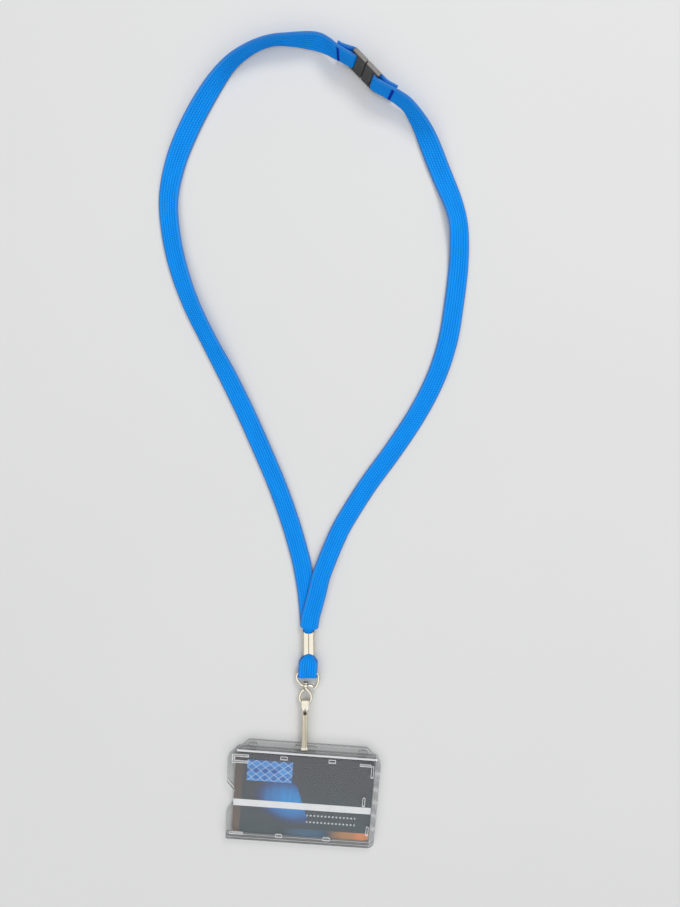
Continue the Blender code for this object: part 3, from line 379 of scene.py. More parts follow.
class Value:
    """A number socket that takes part in Python expressions."""

    def __init__(self, tree, socket):
        self.tree = tree
        self.socket = socket

    def math(self, operation, *others, flip=False):
        terms = [self, *others]
        if flip:
            terms.reverse()
        return self.tree.number("ShaderNodeMath", {"operation": operation}, *terms)

    def __add__(self, other):
        return self.math("ADD", other)

    def __sub__(self, other):
        return self.math("SUBTRACT", other)

    def __rsub__(self, other):
        return self.math("SUBTRACT", other, flip=True)

    def __mul__(self, other):
        return self.math("MULTIPLY", other)

    def __truediv__(self, other):
        return self.math("DIVIDE", other)

    def __pow__(self, other):
        return self.math("POWER", other)

    __radd__ = __add__
    __rmul__ = __mul__

    def sine(self):
        return self.math("SINE")

    def size(self):
        return self.math("ABSOLUTE")

    def above(self, edge, soft):
        """0 below the edge and 1 above it, over a soft distance."""
        share = (self - (edge - soft / 2)) / soft
        return share.clamped()

    def below(self, edge, soft):
        return 1 - self.above(edge, soft)

    def within(self, low, high, soft):
        return self.above(low, soft) * self.below(high, soft)

    def clamped(self):
        return self.tree.number("ShaderNodeClamp", {}, self)

    def least(self, other):
        return self.math("MINIMUM", other)

    def most(self, other):
        return self.math("MAXIMUM", other)

    def fraction(self):
        return self.math("FRACT")

    def whole(self):
        return self.math("FLOOR")


class Finish:
    """A new material with one Principled BSDF, and calls that add nodes to it."""

    def __init__(self, name, **constants):
        self.material = bpy.data.materials.new(name)
        self.material.use_nodes = True
        self.nodes = self.material.node_tree.nodes
        self.links = self.material.node_tree.links
        self.shader = self.nodes["Principled BSDF"]
        for socket, value in constants.items():
            self.shader.inputs[socket.replace("_", " ")].default_value = value

    def add(self, kind, options=None, **inputs):
        node = self.nodes.new(kind)
        for name, value in (options or {}).items():
            setattr(node, name, value)
        for name, value in inputs.items():
            self.join(value, node.inputs[name.replace("_", " ")])
        return node

    def number(self, kind, options, *terms):
        node = self.add(kind, options)
        for index, term in enumerate(terms):
            self.join(term, node.inputs[index])
        return Value(self, node.outputs[0])

    def join(self, value, socket):
        if isinstance(value, Value):
            value = value.socket
        if isinstance(value, bpy.types.NodeSocket):
            self.links.new(value, socket)
        elif isinstance(value, (tuple, list)) and len(value) == 3 and socket.type == "RGBA":
            socket.default_value = (*value, 1.0)
        else:
            socket.default_value = value

    def place(self):
        """The piece's Object coordinates."""
        return self.add("ShaderNodeTexCoord").outputs["Object"]

    def parts(self, vector):
        """A vector's X, Y and Z as numbers."""
        split = self.add("ShaderNodeSeparateXYZ", Vector=vector)
        return [Value(self, split.outputs[axis]) for axis in "XYZ"]

    def moved(self, vector, turn=0.0, scale=(1, 1, 1)):
        node = self.add("ShaderNodeMapping", Vector=vector, Rotation=(0, 0, turn), Scale=scale)
        return node.outputs[0]

    def noise(self, vector, scale, detail=3.0, roughness=0.5):
        node = self.add(
            "ShaderNodeTexNoise", Vector=vector, Scale=scale, Detail=detail, Roughness=roughness
        )
        return Value(self, node.outputs[0])

    def mix(self, share, first, second):
        node = self.add("ShaderNodeMix", {"data_type": "RGBA"})
        self.join(share, node.inputs[0])
        self.join(first, node.inputs[6])
        self.join(second, node.inputs[7])
        return node.outputs[2]

    def bump(self, height, strength, distance):
        node = self.add("ShaderNodeBump", Height=height, Strength=strength, Distance=distance)
        self.feed("Normal", node.outputs[0])

    def feed(self, socket, value):
        self.join(value, self.shader.inputs[socket])


# Materials


def dimmed(colour, share):
    """A share of the colour's brightness."""
    return tuple(part * share for part in colour)


def webbing_finish(name):
    """Tubular polyester: lengthwise ribs and cross threads with painted shade in their grooves and
    a painted highlight on their crowns, a painted highlight along both selvedges, and a silky
    sheen.
    """
    colour = tuple(settings().webbing_colour)
    finish = Finish(
        name,
        Specular_IOR_Level=0.12,
        Sheen_Weight=0.08,
        Sheen_Roughness=0.35,
        Sheen_Tint=SHEEN_TONE,
    )
    vector = finish.add("ShaderNodeUVMap", {"uv_map": "weave"}).outputs[0]
    across, along, _ = finish.parts(vector)
    rib = across * STRAP_RIBS
    ridge = (rib * math.pi).sine().size() ** 0.5
    stagger = rib.whole() * 0.5
    cross = ((along / settings().weave_pitch + stagger) * math.pi).sine().size() ** 0.5
    patches = finish.noise(finish.moved(vector, scale=(2, 60, 1)), 1.0, detail=3)
    fibre = finish.noise(finish.moved(vector, scale=(120, 9000, 1)), 1.0, detail=2)
    weave = ridge * (cross * 0.7 + 0.3)
    shade = (weave * 0.95 + patches * 0.4 + fibre * 0.3 - 0.25).clamped()
    bright = (colour[0], colour[1] * 1.3, min(1.0, colour[2] * 1.2))
    # Painted highlight: a pale blue is mixed in along both selvedges
    selvedge_highlight = (across - 0.5).size().above(0.480, 0.03)
    # Painted shade and highlight: a deep copy of the colour lies in the grooves between ribs and
    # cross threads and a bright copy on their crowns, with random tone from patches and fibres
    woven = finish.mix(shade, dimmed(colour, 0.40), bright)
    finish.feed("Base Color", finish.mix(selvedge_highlight * 0.45, woven, SELVEDGE_HIGHLIGHT_TONE))
    finish.feed("Roughness", 0.8 - shade * 0.2)
    finish.bump(weave + fibre * 0.25, 0.6, 0.00025)
    return finish.material


def thread_finish(name):
    """Dull sewing thread, mottled by its twist."""
    colour = tuple(settings().thread_colour)
    finish = Finish(name, Specular_IOR_Level=0.15)
    twist = finish.noise(finish.place(), 5200, detail=3)
    finish.feed("Base Color", finish.mix(twist, dimmed(colour, 0.5), colour))
    finish.feed("Roughness", 0.85 - twist * 0.3)
    finish.bump(twist, 0.5, 0.0001)
    return finish.material


def tilted(finish):
    """0 where the piece faces straight up or down, 1 on its upright sides."""
    normal = finish.add("ShaderNodeTexCoord").outputs["Normal"]
    return 1 - finish.parts(normal)[2].size()


def clasp_finish(name):
    """Moulded black plastic with a fine spark grain and rubbed patches; faces that point up or
    down get a painted pale highlight.
    """
    finish = Finish(name, Specular_IOR_Level=0.6)
    vector = finish.place()
    grain = finish.noise(vector, 4200, detail=3)
    rub = finish.noise(vector, 420, detail=5, roughness=0.65)
    rubbed = rub.above(0.62, 0.12)
    black = finish.mix(grain, *BLACK_TONES)
    black = finish.mix(rubbed * 0.5, black, RUBBED_TONE)
    # Painted highlight: faces that point straight up or down, such as the standing clasp's top
    # edge, are mixed toward a pale warm grey
    upper_highlight = tilted(finish).below(0.3, 0.3)
    finish.feed("Base Color", finish.mix(upper_highlight * 0.85, black, UPPER_FACE_HIGHLIGHT_TONE))
    finish.feed("Roughness", 0.36 + grain * 0.16 + rubbed * 0.1)
    finish.bump(grain, 0.35, 0.00006)
    return finish.material


def nickel_finish(name, roughness, scratch, metallic=1.0, seam=None):
    """Bright plating with fine rubbed lines and painted shade on its steep sides.

    The seam argument gives a dark band by its top, length, slant, half width and
    depth of tone; the band marks a sheet's joint, or paints shade.
    """
    colour = tuple(settings().nickel_colour)
    finish = Finish(name, Metallic=metallic)
    vector = finish.place()
    cloud = finish.noise(vector, 260, detail=4)
    lines = finish.noise(finish.moved(vector, scale=(9000, 700, 9000)), 1.0, detail=2)
    plated = finish.mix(cloud, dimmed(colour, 0.88), colour)
    # Painted shade: steep sides are mixed toward a dark warm tone
    plated = finish.mix(tilted(finish).above(0.7, 0.4) * 0.6, plated, STEEP_SIDE_SHADE_TONE)
    if seam:
        top, length, slant, half_width, depth = seam
        x, y, _ = finish.parts(vector)
        aside = x - top.x - (y - top.y) * slant
        seam_or_shade_mask = aside.size().below(half_width, SEAM_HALF_WIDTH)
        seam_or_shade_mask = seam_or_shade_mask * y.within(top.y - length, top.y, SEAM_HALF_WIDTH)
        # A sheet's joint, or painted shade, is mixed toward a dark warm tone
        plated = finish.mix(seam_or_shade_mask * depth, plated, SEAM_AND_SHADE_TONE)
    finish.feed("Base Color", plated)
    finish.feed("Roughness", roughness + cloud * 0.12 + lines * scratch)
    finish.bump(cloud * 0.7 + lines * 0.3, 0.08, 0.00004)
    return finish.material


def on_card(finish):
    """Coordinates along the card's sides, from its middle and the holder's back."""
    centred = finish.add(
        "ShaderNodeMapping",
        {"vector_type": "TEXTURE"},
        Vector=finish.place(),
        Location=(CARD_PLACE.x, CARD_PLACE.y, HOLDER_BACK),
        Rotation=(0, 0, math.radians(HOLDER_LEAN)),
    ).outputs[0]
    return centred, *finish.parts(centred)


def clear_finish(name):
    """Clear moulded plastic: its faces pass most light; painted milky highlights lie on its
    rounded edges, ridge and window rims, painted shade on its steep walls, and its end wall looks
    milky.
    """
    finish = Finish(name, Specular_IOR_Level=1.0, IOR=2.1)
    vector, x, y, z = on_card(finish)
    tilt = tilted(finish)
    # Painted shade: the steep walls get a dark grey tone and more opacity, in place of refraction
    wall = tilt.above(0.75, 0.2)
    # Painted highlight on the rounded edges
    rounding = tilt.above(0.1, 0.1) * (1 - wall)
    haze = finish.noise(vector, 170, detail=4)
    scuff = finish.noise(finish.moved(vector, turn=0.6, scale=(2600, 160, 400)), 1.0, detail=3)
    scratches = scuff.above(0.68, 0.04)
    end_wall = x.above(CARD_WIDTH / 2 + HOLDER_CLEARANCE, 0.0003)
    marks = 0.0
    for place in WALL_MARKS:
        marks = (y - place).size().below(WALL_MARK_REACH, WALL_MARK_REACH) + marks
    # Painted highlight along the raised ridge
    ridge = z.above(HOLDER_THICKNESS + RIDGE_RISE / 2, RIDGE_RISE / 2)
    aside = 1.0
    for left, right, low, high in WINDOWS:
        past_x = (x - (left + right) / 2).size() - (right - left) / 2
        past_y = (y - (low + high) / 2).size() - (high - low) / 2
        aside = past_x.most(past_y).least(aside)
    # Painted highlight: a milky rim round each window on the top face
    rim = aside.within(-WINDOW_RIM / 4, WINDOW_RIM, WINDOW_RIM / 2)
    rim = rim * z.above(HOLDER_THICKNESS - WINDOW_RIM, WINDOW_RIM / 2)
    # Milky end wall, and painted highlights on the rounded edges, ridge and window rims
    milk_and_highlight = (rounding + ridge + end_wall * 0.4 + rim).clamped()
    over_card = x.size().below(CARD_WIDTH / 2, 0.0002) * y.size().below(CARD_HEIGHT / 2, 0.0002)
    body = finish.mix(wall, WALL_SHADE_TONE, finish.mix(over_card, SIDE_TONE, OVER_CARD_TONE))
    finish.feed("Base Color", finish.mix(milk_and_highlight, body, MILK_AND_HIGHLIGHT_TONE))
    veil = 0.05 + haze * 0.03 + scratches * 0.05
    tab = y.above(CARD_HEIGHT / 2 + TAB_BEGINS, TAB_BEGINS / 4)
    # Opacity of the painted highlights and of the walls' painted shade
    bright = rounding * 0.6 + wall * 0.75 + ridge * 0.6
    frost = end_wall * (marks * 0.3 + 0.12) + tab * 0.09
    finish.feed("Alpha", (veil + bright + frost + rim * 0.6).clamped())
    finish.feed("Roughness", 0.06 + haze * 0.08 + scratches * 0.25)
    finish.bump(haze + scuff * 0.2, 0.1, 0.0002)
    return finish.material


def card_finish(name):
    """Printed and laminated card: a taupe band, a slate field, a lozenge panel and glows."""
    slate = tuple(settings().card_colour)
    finish = Finish(name, Coat_Roughness=0.15, Coat_Weight=0.4, Specular_IOR_Level=0.4)
    source, x, y, _ = on_card(finish)
    grain = finish.noise(source, 9000, detail=2)
    cloud = finish.noise(source, 70, detail=4)
    teal = (slate[0] * 0.8, slate[1] * 1.3, slate[2] * 1.35)
    low = (cloud * 0.8 + (0.004 - y) / 0.05).clamped()
    colour = finish.mix(low, slate, teal)
    # Slanted glow, from violet at its rim to cyan
    lean = x + y * GLOW_SLANT
    glow_x, glow_y = (lean - GLOW_PLACE[0]) / GLOW_SIZE[0], (y - GLOW_PLACE[1]) / GLOW_SIZE[1]
    streak = finish.noise(finish.moved(source, turn=-0.5, scale=(420, 60, 60)), 1.0, detail=3)
    glow = (1 - (glow_x * glow_x + glow_y * glow_y)).clamped()
    glow = glow * lean.below(GLOW_EDGE, 0.0005) * (streak * 0.6 + 0.6)
    glow_colour = finish.mix(glow ** 1.5, *GLOW_TONES)
    colour = finish.mix((glow * 1.8).clamped() * 0.9, colour, glow_colour)
    # Bands along the foot and the left edge
    foot = y.below(FOOT_BAND_TOP, PRINT_EDGE)
    colour = finish.mix(foot * x.within(*FOOT_BLUE) * 0.5, colour, FOOT_BLUE_TONE)
    amber = finish.mix(x.above(*FOOT_AMBER), *AMBER_TONES)
    colour = finish.mix(foot * x.above(*FOOT_WARM) * 0.9, colour, amber)
    dusk = (cloud * 0.6 + (0.006 - y) / 0.06).clamped()
    taupe = finish.mix(dusk, *TAUPE_TONES)
    colour = finish.mix(x.below(BAND_RIGHT, PRINT_EDGE), colour, taupe)
    # Lozenge panel
    column = (x - PANEL_PLACE[0]) / LOZENGE[0]
    row = (y - PANEL_PLACE[1]) / LOZENGE[1]
    rising, falling = column + row, column - row
    tone = (rising.whole() * 0.37 + falling.whole() * 0.61).fraction()
    lozenge = finish.mix(tone, *LOZENGE_TONES)
    rim = [(slant.fraction() - 0.5).size().above(0.455, 0.03) for slant in (rising, falling)]
    lozenge = finish.mix((rim[0] + rim[1]).clamped() * 0.8, lozenge, LOZENGE_RIM_TONE)
    inside = column.size().below(PANEL_SHARES[0], 0.04) * row.size().below(PANEL_SHARES[1], 0.04)
    colour = finish.mix(inside, colour, lozenge)
    # Two dotted rules
    dots = 0.0
    for rule in RULE_HEIGHTS:
        across = ((x / RULE_PITCH).fraction() - 0.5) * RULE_PITCH
        away = (across * across + (y - rule) * (y - rule)) ** 0.5
        dots = away.below(RULE_DOT, RULE_DOT / 2) + dots
    dots = dots * x.within(*RULE_ENDS, 0.0001)
    colour = finish.mix(dots * 0.9, colour, DOT_TONE)
    finish.feed("Base Color", finish.mix(grain * 0.05, colour, CARD_GRAIN_TONE))
    finish.feed("Roughness", 0.36 + cloud * 0.1 + grain * 0.05)
    finish.bump(cloud + grain * 0.1, 0.05, 0.0002)
    return finish.material


def label_finish(name):
    """White paper with fine fibres."""
    finish = Finish(name, Specular_IOR_Level=0.4)
    vector = finish.place()
    fibre = finish.noise(vector, 3800, detail=4)
    cloud = finish.noise(vector, 130, detail=3)
    paper = finish.mix(cloud, *LABEL_TONES)
    finish.feed("Base Color", finish.mix(fibre * 0.2, paper, LABEL_FIBRE_TONE))
    finish.feed("Roughness", 0.5 + fibre * 0.2)
    finish.bump(fibre, 0.2, 0.00005)
    return finish.material


def floor_finish(name):
    """Plain pale studio floor."""
    finish = Finish(name, Specular_IOR_Level=0.2)
    cloud = finish.noise(finish.place(), 6, detail=3)
    finish.feed("Base Color", finish.mix(cloud, *FLOOR_TONES))
    finish.feed("Roughness", 0.7 + cloud * 0.1)
    return finish.material


def finish_for(slot, maker, **values):
    """The finish for a slot; the frame's own material of that name stays as it is."""
    name = slot + "_finish"
    return bpy.data.materials.get(name) or maker(name, **values)


def wire_finish():
    """The plating of the ring and of the swivel."""
    return finish_for("nickel_wire", nickel_finish, roughness=0.12, scratch=0.08)


# Modelling helpers


def linked(name, data):
    """A new object with the data, in the scene."""
    obj = bpy.data.objects.new(name, data)
    bpy.context.scene.collection.objects.link(obj)
    return obj


def only(obj):
    """Select one object and make it active."""
    bpy.ops.object.select_all(action="DESELECT")
    obj.select_set(True)
    bpy.context.view_layer.objects.active = obj


def edited(obj, *steps):
    """Run edit mode operators, given as (operator, settings), on all of the mesh."""
    only(obj)
    bpy.ops.object.mode_set(mode="EDIT")
    bpy.ops.mesh.select_all(action="SELECT")
    for operator, values in steps:
        operator(**values)
    bpy.ops.object.mode_set(mode="OBJECT")


def modified(obj, kind, **values):
    """Add a modifier and apply it."""
    only(obj)
    modifier = obj.modifiers.new(kind.title(), kind)
    for name, value in values.items():
        setattr(modifier, name, value)
    bpy.ops.object.modifier_apply(modifier=modifier.name)


def smoothed(obj, degrees=35.0):
    """Shade the faces smooth, apart from edges sharper than the angle."""
    only(obj)
    bpy.ops.object.shade_smooth_by_angle(angle=math.radians(degrees))


def dressed(obj, body, material, node):
    """Give a piece its material and its body, and hide the node that it replaces."""
    obj.data.materials.clear()
    obj.data.materials.append(material)
    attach(obj, body)
    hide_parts(node)


def solid_copy(node, name):
    """A copy of a frame node with its loose triangles merged into clean faces."""
    obj = NODES[node].copy()
    obj.data = NODES[node].data.copy()
    obj.name = obj.data.name = name
    obj.parent = None
    obj.matrix_world = Matrix.Identity(4)
    bpy.context.scene.collection.objects.link(obj)
    edited(
        obj,
        (bpy.ops.mesh.remove_doubles, {"threshold": MERGE_DISTANCE}),
        (bpy.ops.mesh.dissolve_limited, {"angle_limit": math.radians(FLAT_ANGLE)}),
    )
    return obj


def rounded_solid(node, kind, radius, segments=3, degrees=30.0):
    """A solid copy with rounded edges, and with flat shading on its flat faces."""
    obj = solid_copy(node, f"{node}_{kind}")
    modified(
        obj,
        "BEVEL",
        width=radius,
        segments=segments,
        limit_method="ANGLE",
        angle_limit=math.radians(degrees),
        use_clamp_overlap=True,
    )
    smoothed(obj, ROUND_ANGLE)
    modified(obj, "WEIGHTED_NORMAL", keep_sharp=True, weight=100)
    return obj


def blend(a, b, share):
    """From a to b with an eased share between 0 and 1."""
    share = min(max(share, 0.0), 1.0)
    return a + (b - a) * share * share * (3 - 2 * share)


def between(a, b, c, d, u):
    """The Catmull-Rom value at the share u of the way from b to c."""
    return 0.5 * (
        2 * b
        + (c - a) * u
        + (2 * a - 5 * b + 4 * c - d) * u * u
        + (3 * b - a - 3 * c + d) * u * u * u
    )


def spline(points, steps=STEPS_PER_SPAN):
    """A smooth curve through equally long tuples."""
    padded = [points[0], *points, points[-1]]
    curve = []
    for four in zip(padded, padded[1:], padded[2:], padded[3:]):
        for step in range(steps):
            curve.append(tuple(between(*values, step / steps) for values in zip(*four)))
    curve.append(tuple(points[-1]))
    return curve


def tangents(places):
    """The direction of a curve at each of its places."""
    ahead = places[1:] + places[-1:]
    back = places[:1] + places[:-1]
    return [(b - a).normalized() for a, b in zip(back, ahead)]


# Webbing


def in_loop(x_share, y_share, z=0.0):
    """A place given by shares of the neck loop's width and length."""
    return Vector((x_share * LOOP_WIDTH, y_share * LOOP_LENGTH, z))


FOLD_RADIUS = CLASP_BAR_RADIUS + GAP + STRAP_THICKNESS / 2
CLASP_BAR_PLACE = CLASP_HALF_LENGTH - CLASP_BAR_INSET
ROLL = math.radians(CLASP_ROLL)
CLASP_LIFT = CLASP_THICKNESS / 2 * math.cos(ROLL) + CLASP_WIDTH / 2 * math.sin(ROLL)
CLASP_FRAME = (
    Matrix.Translation(in_loop(*CLASP_PLACE_SHARES, CLASP_LIFT))
    @ Matrix.Rotation(math.radians(CLASP_HEADING), 4, "Z")
    @ Matrix.Rotation(ROLL, 4, "X")
)
CRIMP_HEIGHT = 2 * STRAP_THICKNESS + GAP + 2 * CRIMP_CLEARANCE + 2 * CRIMP_WALL
LOWER_LAYER = CRIMP_HEIGHT / 2 - (STRAP_THICKNESS + GAP) / 2
UPPER_LAYER = CRIMP_HEIGHT / 2 + (STRAP_THICKNESS + GAP) / 2
# Legs of the strap: route, height in the crimp and side
LEFT_LEG = (LEFT_ROUTE_SHARES, LOWER_LAYER, -1)
RIGHT_LEG = (RIGHT_ROUTE_SHARES, UPPER_LAYER, 1)


def strap_width_at(place):
    """The webbing is bunched in the crimp."""
    return blend(CRIMP_STRAP_WIDTH, STRAP_WIDTH, (place.y - CRIMP_LENGTH / 2) / NECK_LENGTH)


def fold_frame(side):
    """On the clasp's bar: X runs outwards along the fold, Y along the bar."""
    return (
        CLASP_FRAME
        @ Matrix.Translation((side * CLASP_BAR_PLACE, 0, 0))
        @ Matrix.Rotation(0 if side > 0 else math.pi, 4, "Z")
        @ Matrix.Rotation(math.radians(side * FOLD_TURN), 4, "Y")
    )


def roll_in(frame):
    """The roll of webbing that runs against the frame's X with its width along Y."""
    along, across = -frame.to_3x3().col[0], frame.to_3x3().col[1]
    level = along.cross(Vector((0, 0, 1))).normalized()
    return math.atan2(across.dot(level.cross(along)), across.dot(level))


def route_stations(shares, layer, side):
    """Smooth stations (x, y, z, roll) from the crimp's middle to the clasp's bar."""
    stations = [(0.0, GAP / 2, layer, 0.0), (0.0, CRIMP_LENGTH / 2, layer, 0.0)]
    for x_share, y_share, lift_share, roll in shares:
        place = in_loop(x_share, y_share)
        tilt = math.radians(roll)
        reach = (strap_width_at(place) - STRAP_THICKNESS) / 2
        height = (lift_share + 0.5) * STRAP_THICKNESS + reach * abs(math.sin(tilt))
        stations.append((place.x, place.y, height, tilt))
    fold = fold_frame(side)
    for run in (FOLD_RUN, FOLD_RUN / 2, 0):
        stations.append((*(fold @ Vector((run, 0, FOLD_RADIUS))), roll_in(fold)))
    return stations


def leg_course(shares, layer, side):
    """Places and width directions along one leg and its fold, and the tack's seat."""
    curve = spline(route_stations(shares, layer, side))
    places = [Vector(station[:3]) for station in curve]
    alongs = tangents(places)
    acrosses = []
    for along, (*_, roll) in zip(alongs, curve):
        level = along.cross(Vector((0, 0, 1))).normalized()
        acrosses.append(level * math.cos(roll) + level.cross(along) * math.sin(roll))
    ups = [across.cross(along) for across, along in zip(acrosses, alongs)]
    bar = fold_frame(side)
    fold = [
        bar @ Vector((-FOLD_RADIUS * math.sin(angle), 0, FOLD_RADIUS * math.cos(angle)))
        for angle in BEND_ANGLES
    ]
    back = []
    back_acrosses = []
    tack = None
    tack_distance = RIGHT_TACK_DISTANCE if side > 0 else LEFT_TACK_DISTANCE
    for place, across, up in zip(reversed(places), reversed(acrosses), reversed(ups)):
        distance = abs((CLASP_FRAME.inverted() @ place).x)
        if distance > tack_distance + FOLD_END_BEYOND_TACK:
            break
        closing = (distance - CLASP_BAR_PLACE) / FOLD_CLOSING_LENGTH
        rise = blend(2 * FOLD_RADIUS, STRAP_THICKNESS + GAP, closing)
        back.append(place - up * rise)
        back_acrosses.append(across)
        if distance < tack_distance:
            tack = (place + up * STRAP_THICKNESS / 2, across, up)
    return (
        places + fold + back,
        acrosses + [acrosses[-1]] * len(fold) + back_acrosses,
        tack,
    )


def ribbed_section(width, thickness):
    """Flat section with ribs on both faces and round edges: (across, up, share)."""
    reach = width / 2 - thickness / 2
    face = []
    for step in range(STRAP_RIBS * RIB_STEPS + 1):
        share = step / (STRAP_RIBS * RIB_STEPS)
        crown = abs(math.sin(math.pi * share * STRAP_RIBS)) ** RIB_CROWN
        face.append((-reach + 2 * reach * share, thickness / 2 - RIB_DEPTH * (1 - crown), share))
    edge = []
    half = thickness / 2 - RIB_DEPTH
    for step in range(1, EDGE_STEPS):
        angle = math.pi / 2 - math.pi * step / EDGE_STEPS
        edge.append((reach + (half + RIB_DEPTH) * math.cos(angle), half * math.sin(angle), 1.0))
    under = [(-a, -b, 1 - share) for a, b, share in face]
    return face + edge + under + [(-a, -b, 0.0) for a, b, _ in edge]


def webbing(name, places, acrosses, widths):
    """A ribbed strap swept along its places, with its weave laid out in a UV map."""
    bm = bmesh.new()
    weave = bm.loops.layers.uv.new("weave")
    rings, lengths = [], [0.0]
    for back, ahead in zip(places, places[1:]):
        lengths.append(lengths[-1] + (ahead - back).length)
    for place, along, across, width in zip(places, tangents(places), acrosses, widths):
        across = (across - along * across.dot(along)).normalized()
        up = across.cross(along)
        section = ribbed_section(width, STRAP_THICKNESS)
        rings.append([bm.verts.new(place + across * a + up * b) for a, b, _ in section])
    shares = [share for _, _, share in section]
    count = len(shares)
    for index, (first, second) in enumerate(zip(rings, rings[1:])):
        for i in range(count):
            j = (i + 1) % count
            face = bm.faces.new((first[i], first[j], second[j], second[i]))
            values = (shares[i], shares[j], shares[j], shares[i])
            ends = (index, index, index + 1, index + 1)
            for loop, share, end in zip(face.loops, values, ends):
                loop[weave].uv = (share, lengths[end])
    for ring in (rings[0], rings[-1]):
        bm.faces.new(ring)
    bmesh.ops.recalc_face_normals(bm, faces=bm.faces)
    mesh = bpy.data.meshes.new(name)
    bm.to_mesh(mesh)
    bm.free()
    obj = linked(name, mesh)
    smoothed(obj, RIB_ANGLE)
    return obj, lengths[-1]


def leg(name, node, shares, layer, side):
    """One leg of the neck strap, from the crimp's middle to the end of its fold."""
    local, acrosses, _ = leg_course(shares, layer, side)
    places = [CRIMP_PLACE + place for place in local]
    widths = [strap_width_at(place) for place in local]
    obj, length = webbing(name, places, acrosses, widths)
    obj.data.materials.append(finish_for("webbing_blue", webbing_finish))
    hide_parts(node)
    [tuple(place) for place in places[:: STEPS_PER_SPAN // 2]] + [tuple(places[-1])]
    return obj


class OBJECT_OT_neck_strap(bpy.types.Operator):
    """Weave both legs of the neck strap."""

    bl_idname = "lanyard.neck_strap"
    bl_label = "Neck strap"

    def execute(self, context):
        left = leg("strap_left_webbing", "strap_left", *LEFT_LEG)
        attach(left, "neck_strap")
        right = leg("strap_right_webbing", "strap_right", *RIGHT_LEG)
        start = CRIMP_PLACE + in_loop(*BEND_START_SHARES)
        end = CRIMP_PLACE + (CLASP_FRAME @ Vector((RIGHT_TACK_DISTANCE, 0, 0)))
        start.z = end.z
        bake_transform(right)
        return {"FINISHED"}


class OBJECT_OT_ring_loop(bpy.types.Operator):
    """Weave the short loop that holds the wire ring."""

    bl_idname = "lanyard.ring_loop"
    bl_label = "Ring loop"

    def execute(self, context):
        radius = WIRE_RADIUS + GAP + STRAP_THICKNESS / 2
        middle = radius + STRAP_THICKNESS / 2
        half_crimp = CRIMP_LENGTH / 2
        halfway = -(half_crimp + RING_BAR_DROP) / 2

        def run_down(layer, height):
            return [
                (0, -GAP / 2, layer),
                (0, -half_crimp, layer),
                (RING_OFFSET / 2, halfway, height),
                (RING_OFFSET, -RING_BAR_DROP, height),
            ]

        under = spline(run_down(LOWER_LAYER, middle - radius))
        over = spline(run_down(UPPER_LAYER, middle + radius)[::-1])
        bend = []
        for angle in BEND_ANGLES:
            drop, rise = radius * math.sin(angle), radius * math.cos(angle)
            bend.append((RING_OFFSET, -RING_BAR_DROP - drop, middle - rise))
        local = [Vector(place) for place in under + bend + over]
        widths = [
            blend(CRIMP_STRAP_WIDTH, RING_LOOP_WIDTH, (-place.y - half_crimp) / RING_NECK_LENGTH)
            for place in local
        ]
        places = [CRIMP_PLACE + place for place in local]
        acrosses = [Vector((-1, 0, 0))] * len(places)
        obj = webbing("strap_ring_loop_webbing", places, acrosses, widths)[0]
        material = finish_for("webbing_blue", webbing_finish)
        dressed(obj, "neck_strap", material, "strap_ring_loop")
        return {"FINISHED"}


# Wires, as curves that become meshes


def wire(name, points, radius, taper=None, resolution=6):
    """A round wire along smooth points; the taper gives the radius as a share."""
    curve = bpy.data.curves.new(name, "CURVE")
    curve.dimensions = "3D"
    curve.bevel_depth = radius
    curve.bevel_resolution = resolution
    curve.use_fill_caps = True
    line = curve.splines.new("POLY")
    line.points.add(len(points) - 1)
    for point, place in zip(line.points, points):
        point.co = (*place, 1.0)
        if taper:
            point.radius = taper(place)
    only(linked(name, curve))
    bpy.ops.object.convert(target="MESH")
    obj = bpy.context.object
    edited(
        obj,
        (bpy.ops.mesh.remove_doubles, {"threshold": MERGE_DISTANCE}),
        (bpy.ops.mesh.normals_make_consistent, {"inside": False}),
    )
    smoothed(obj, ROUND_ANGLE)
    return obj


def joined(*objects):
    """One object of several; the first one stays."""
    bpy.ops.object.select_all(action="DESELECT")
    for obj in objects:
        obj.select_set(True)
    bpy.context.view_layer.objects.active = objects[0]
    bpy.ops.object.join()
    return bpy.context.object


def placed(obj, matrix):
    """Put the mesh where the matrix says, and leave its object at the origin."""
    obj.data.transform(matrix @ obj.matrix_world)
    obj.matrix_world = Matrix.Identity(4)


class OBJECT_OT_bar_tacks(bpy.types.Operator):
    """Sew the zigzag bar tacks over the strap's folds."""

    bl_idname = "lanyard.bar_tacks"
    bl_label = "Bar tacks"

    def execute(self, context):
        material = finish_for("thread_dark_blue", thread_finish)
        for name, body, course in (
            ("bar_tack_left", "neck_strap", LEFT_LEG),
            ("bar_tack_right", "clasp_plug", RIGHT_LEG),
        ):
            seat, across, up = leg_course(*course)[2]
            along = up.cross(across)
            middle = across * TACK_WIDTH / TACK_STROKES / 2 + up * THREAD_RADIUS
            places = []
            for stroke in range(TACK_STROKES + 1):
                share = stroke / TACK_STROKES - 0.5
                reach = TACK_LENGTH / 2 * (1 if stroke % 2 else -1)
                crest = CRIMP_PLACE + seat + across * TACK_WIDTH * share
                places.append(crest + along * reach - up * THREAD_RADIUS * THREAD_SINK)
                if stroke < TACK_STROKES:
                    places.append(crest + middle)
            obj = wire(name + "_thread", places, THREAD_RADIUS, resolution=2)
            dressed(obj, body, material, name)
        return {"FINISHED"}


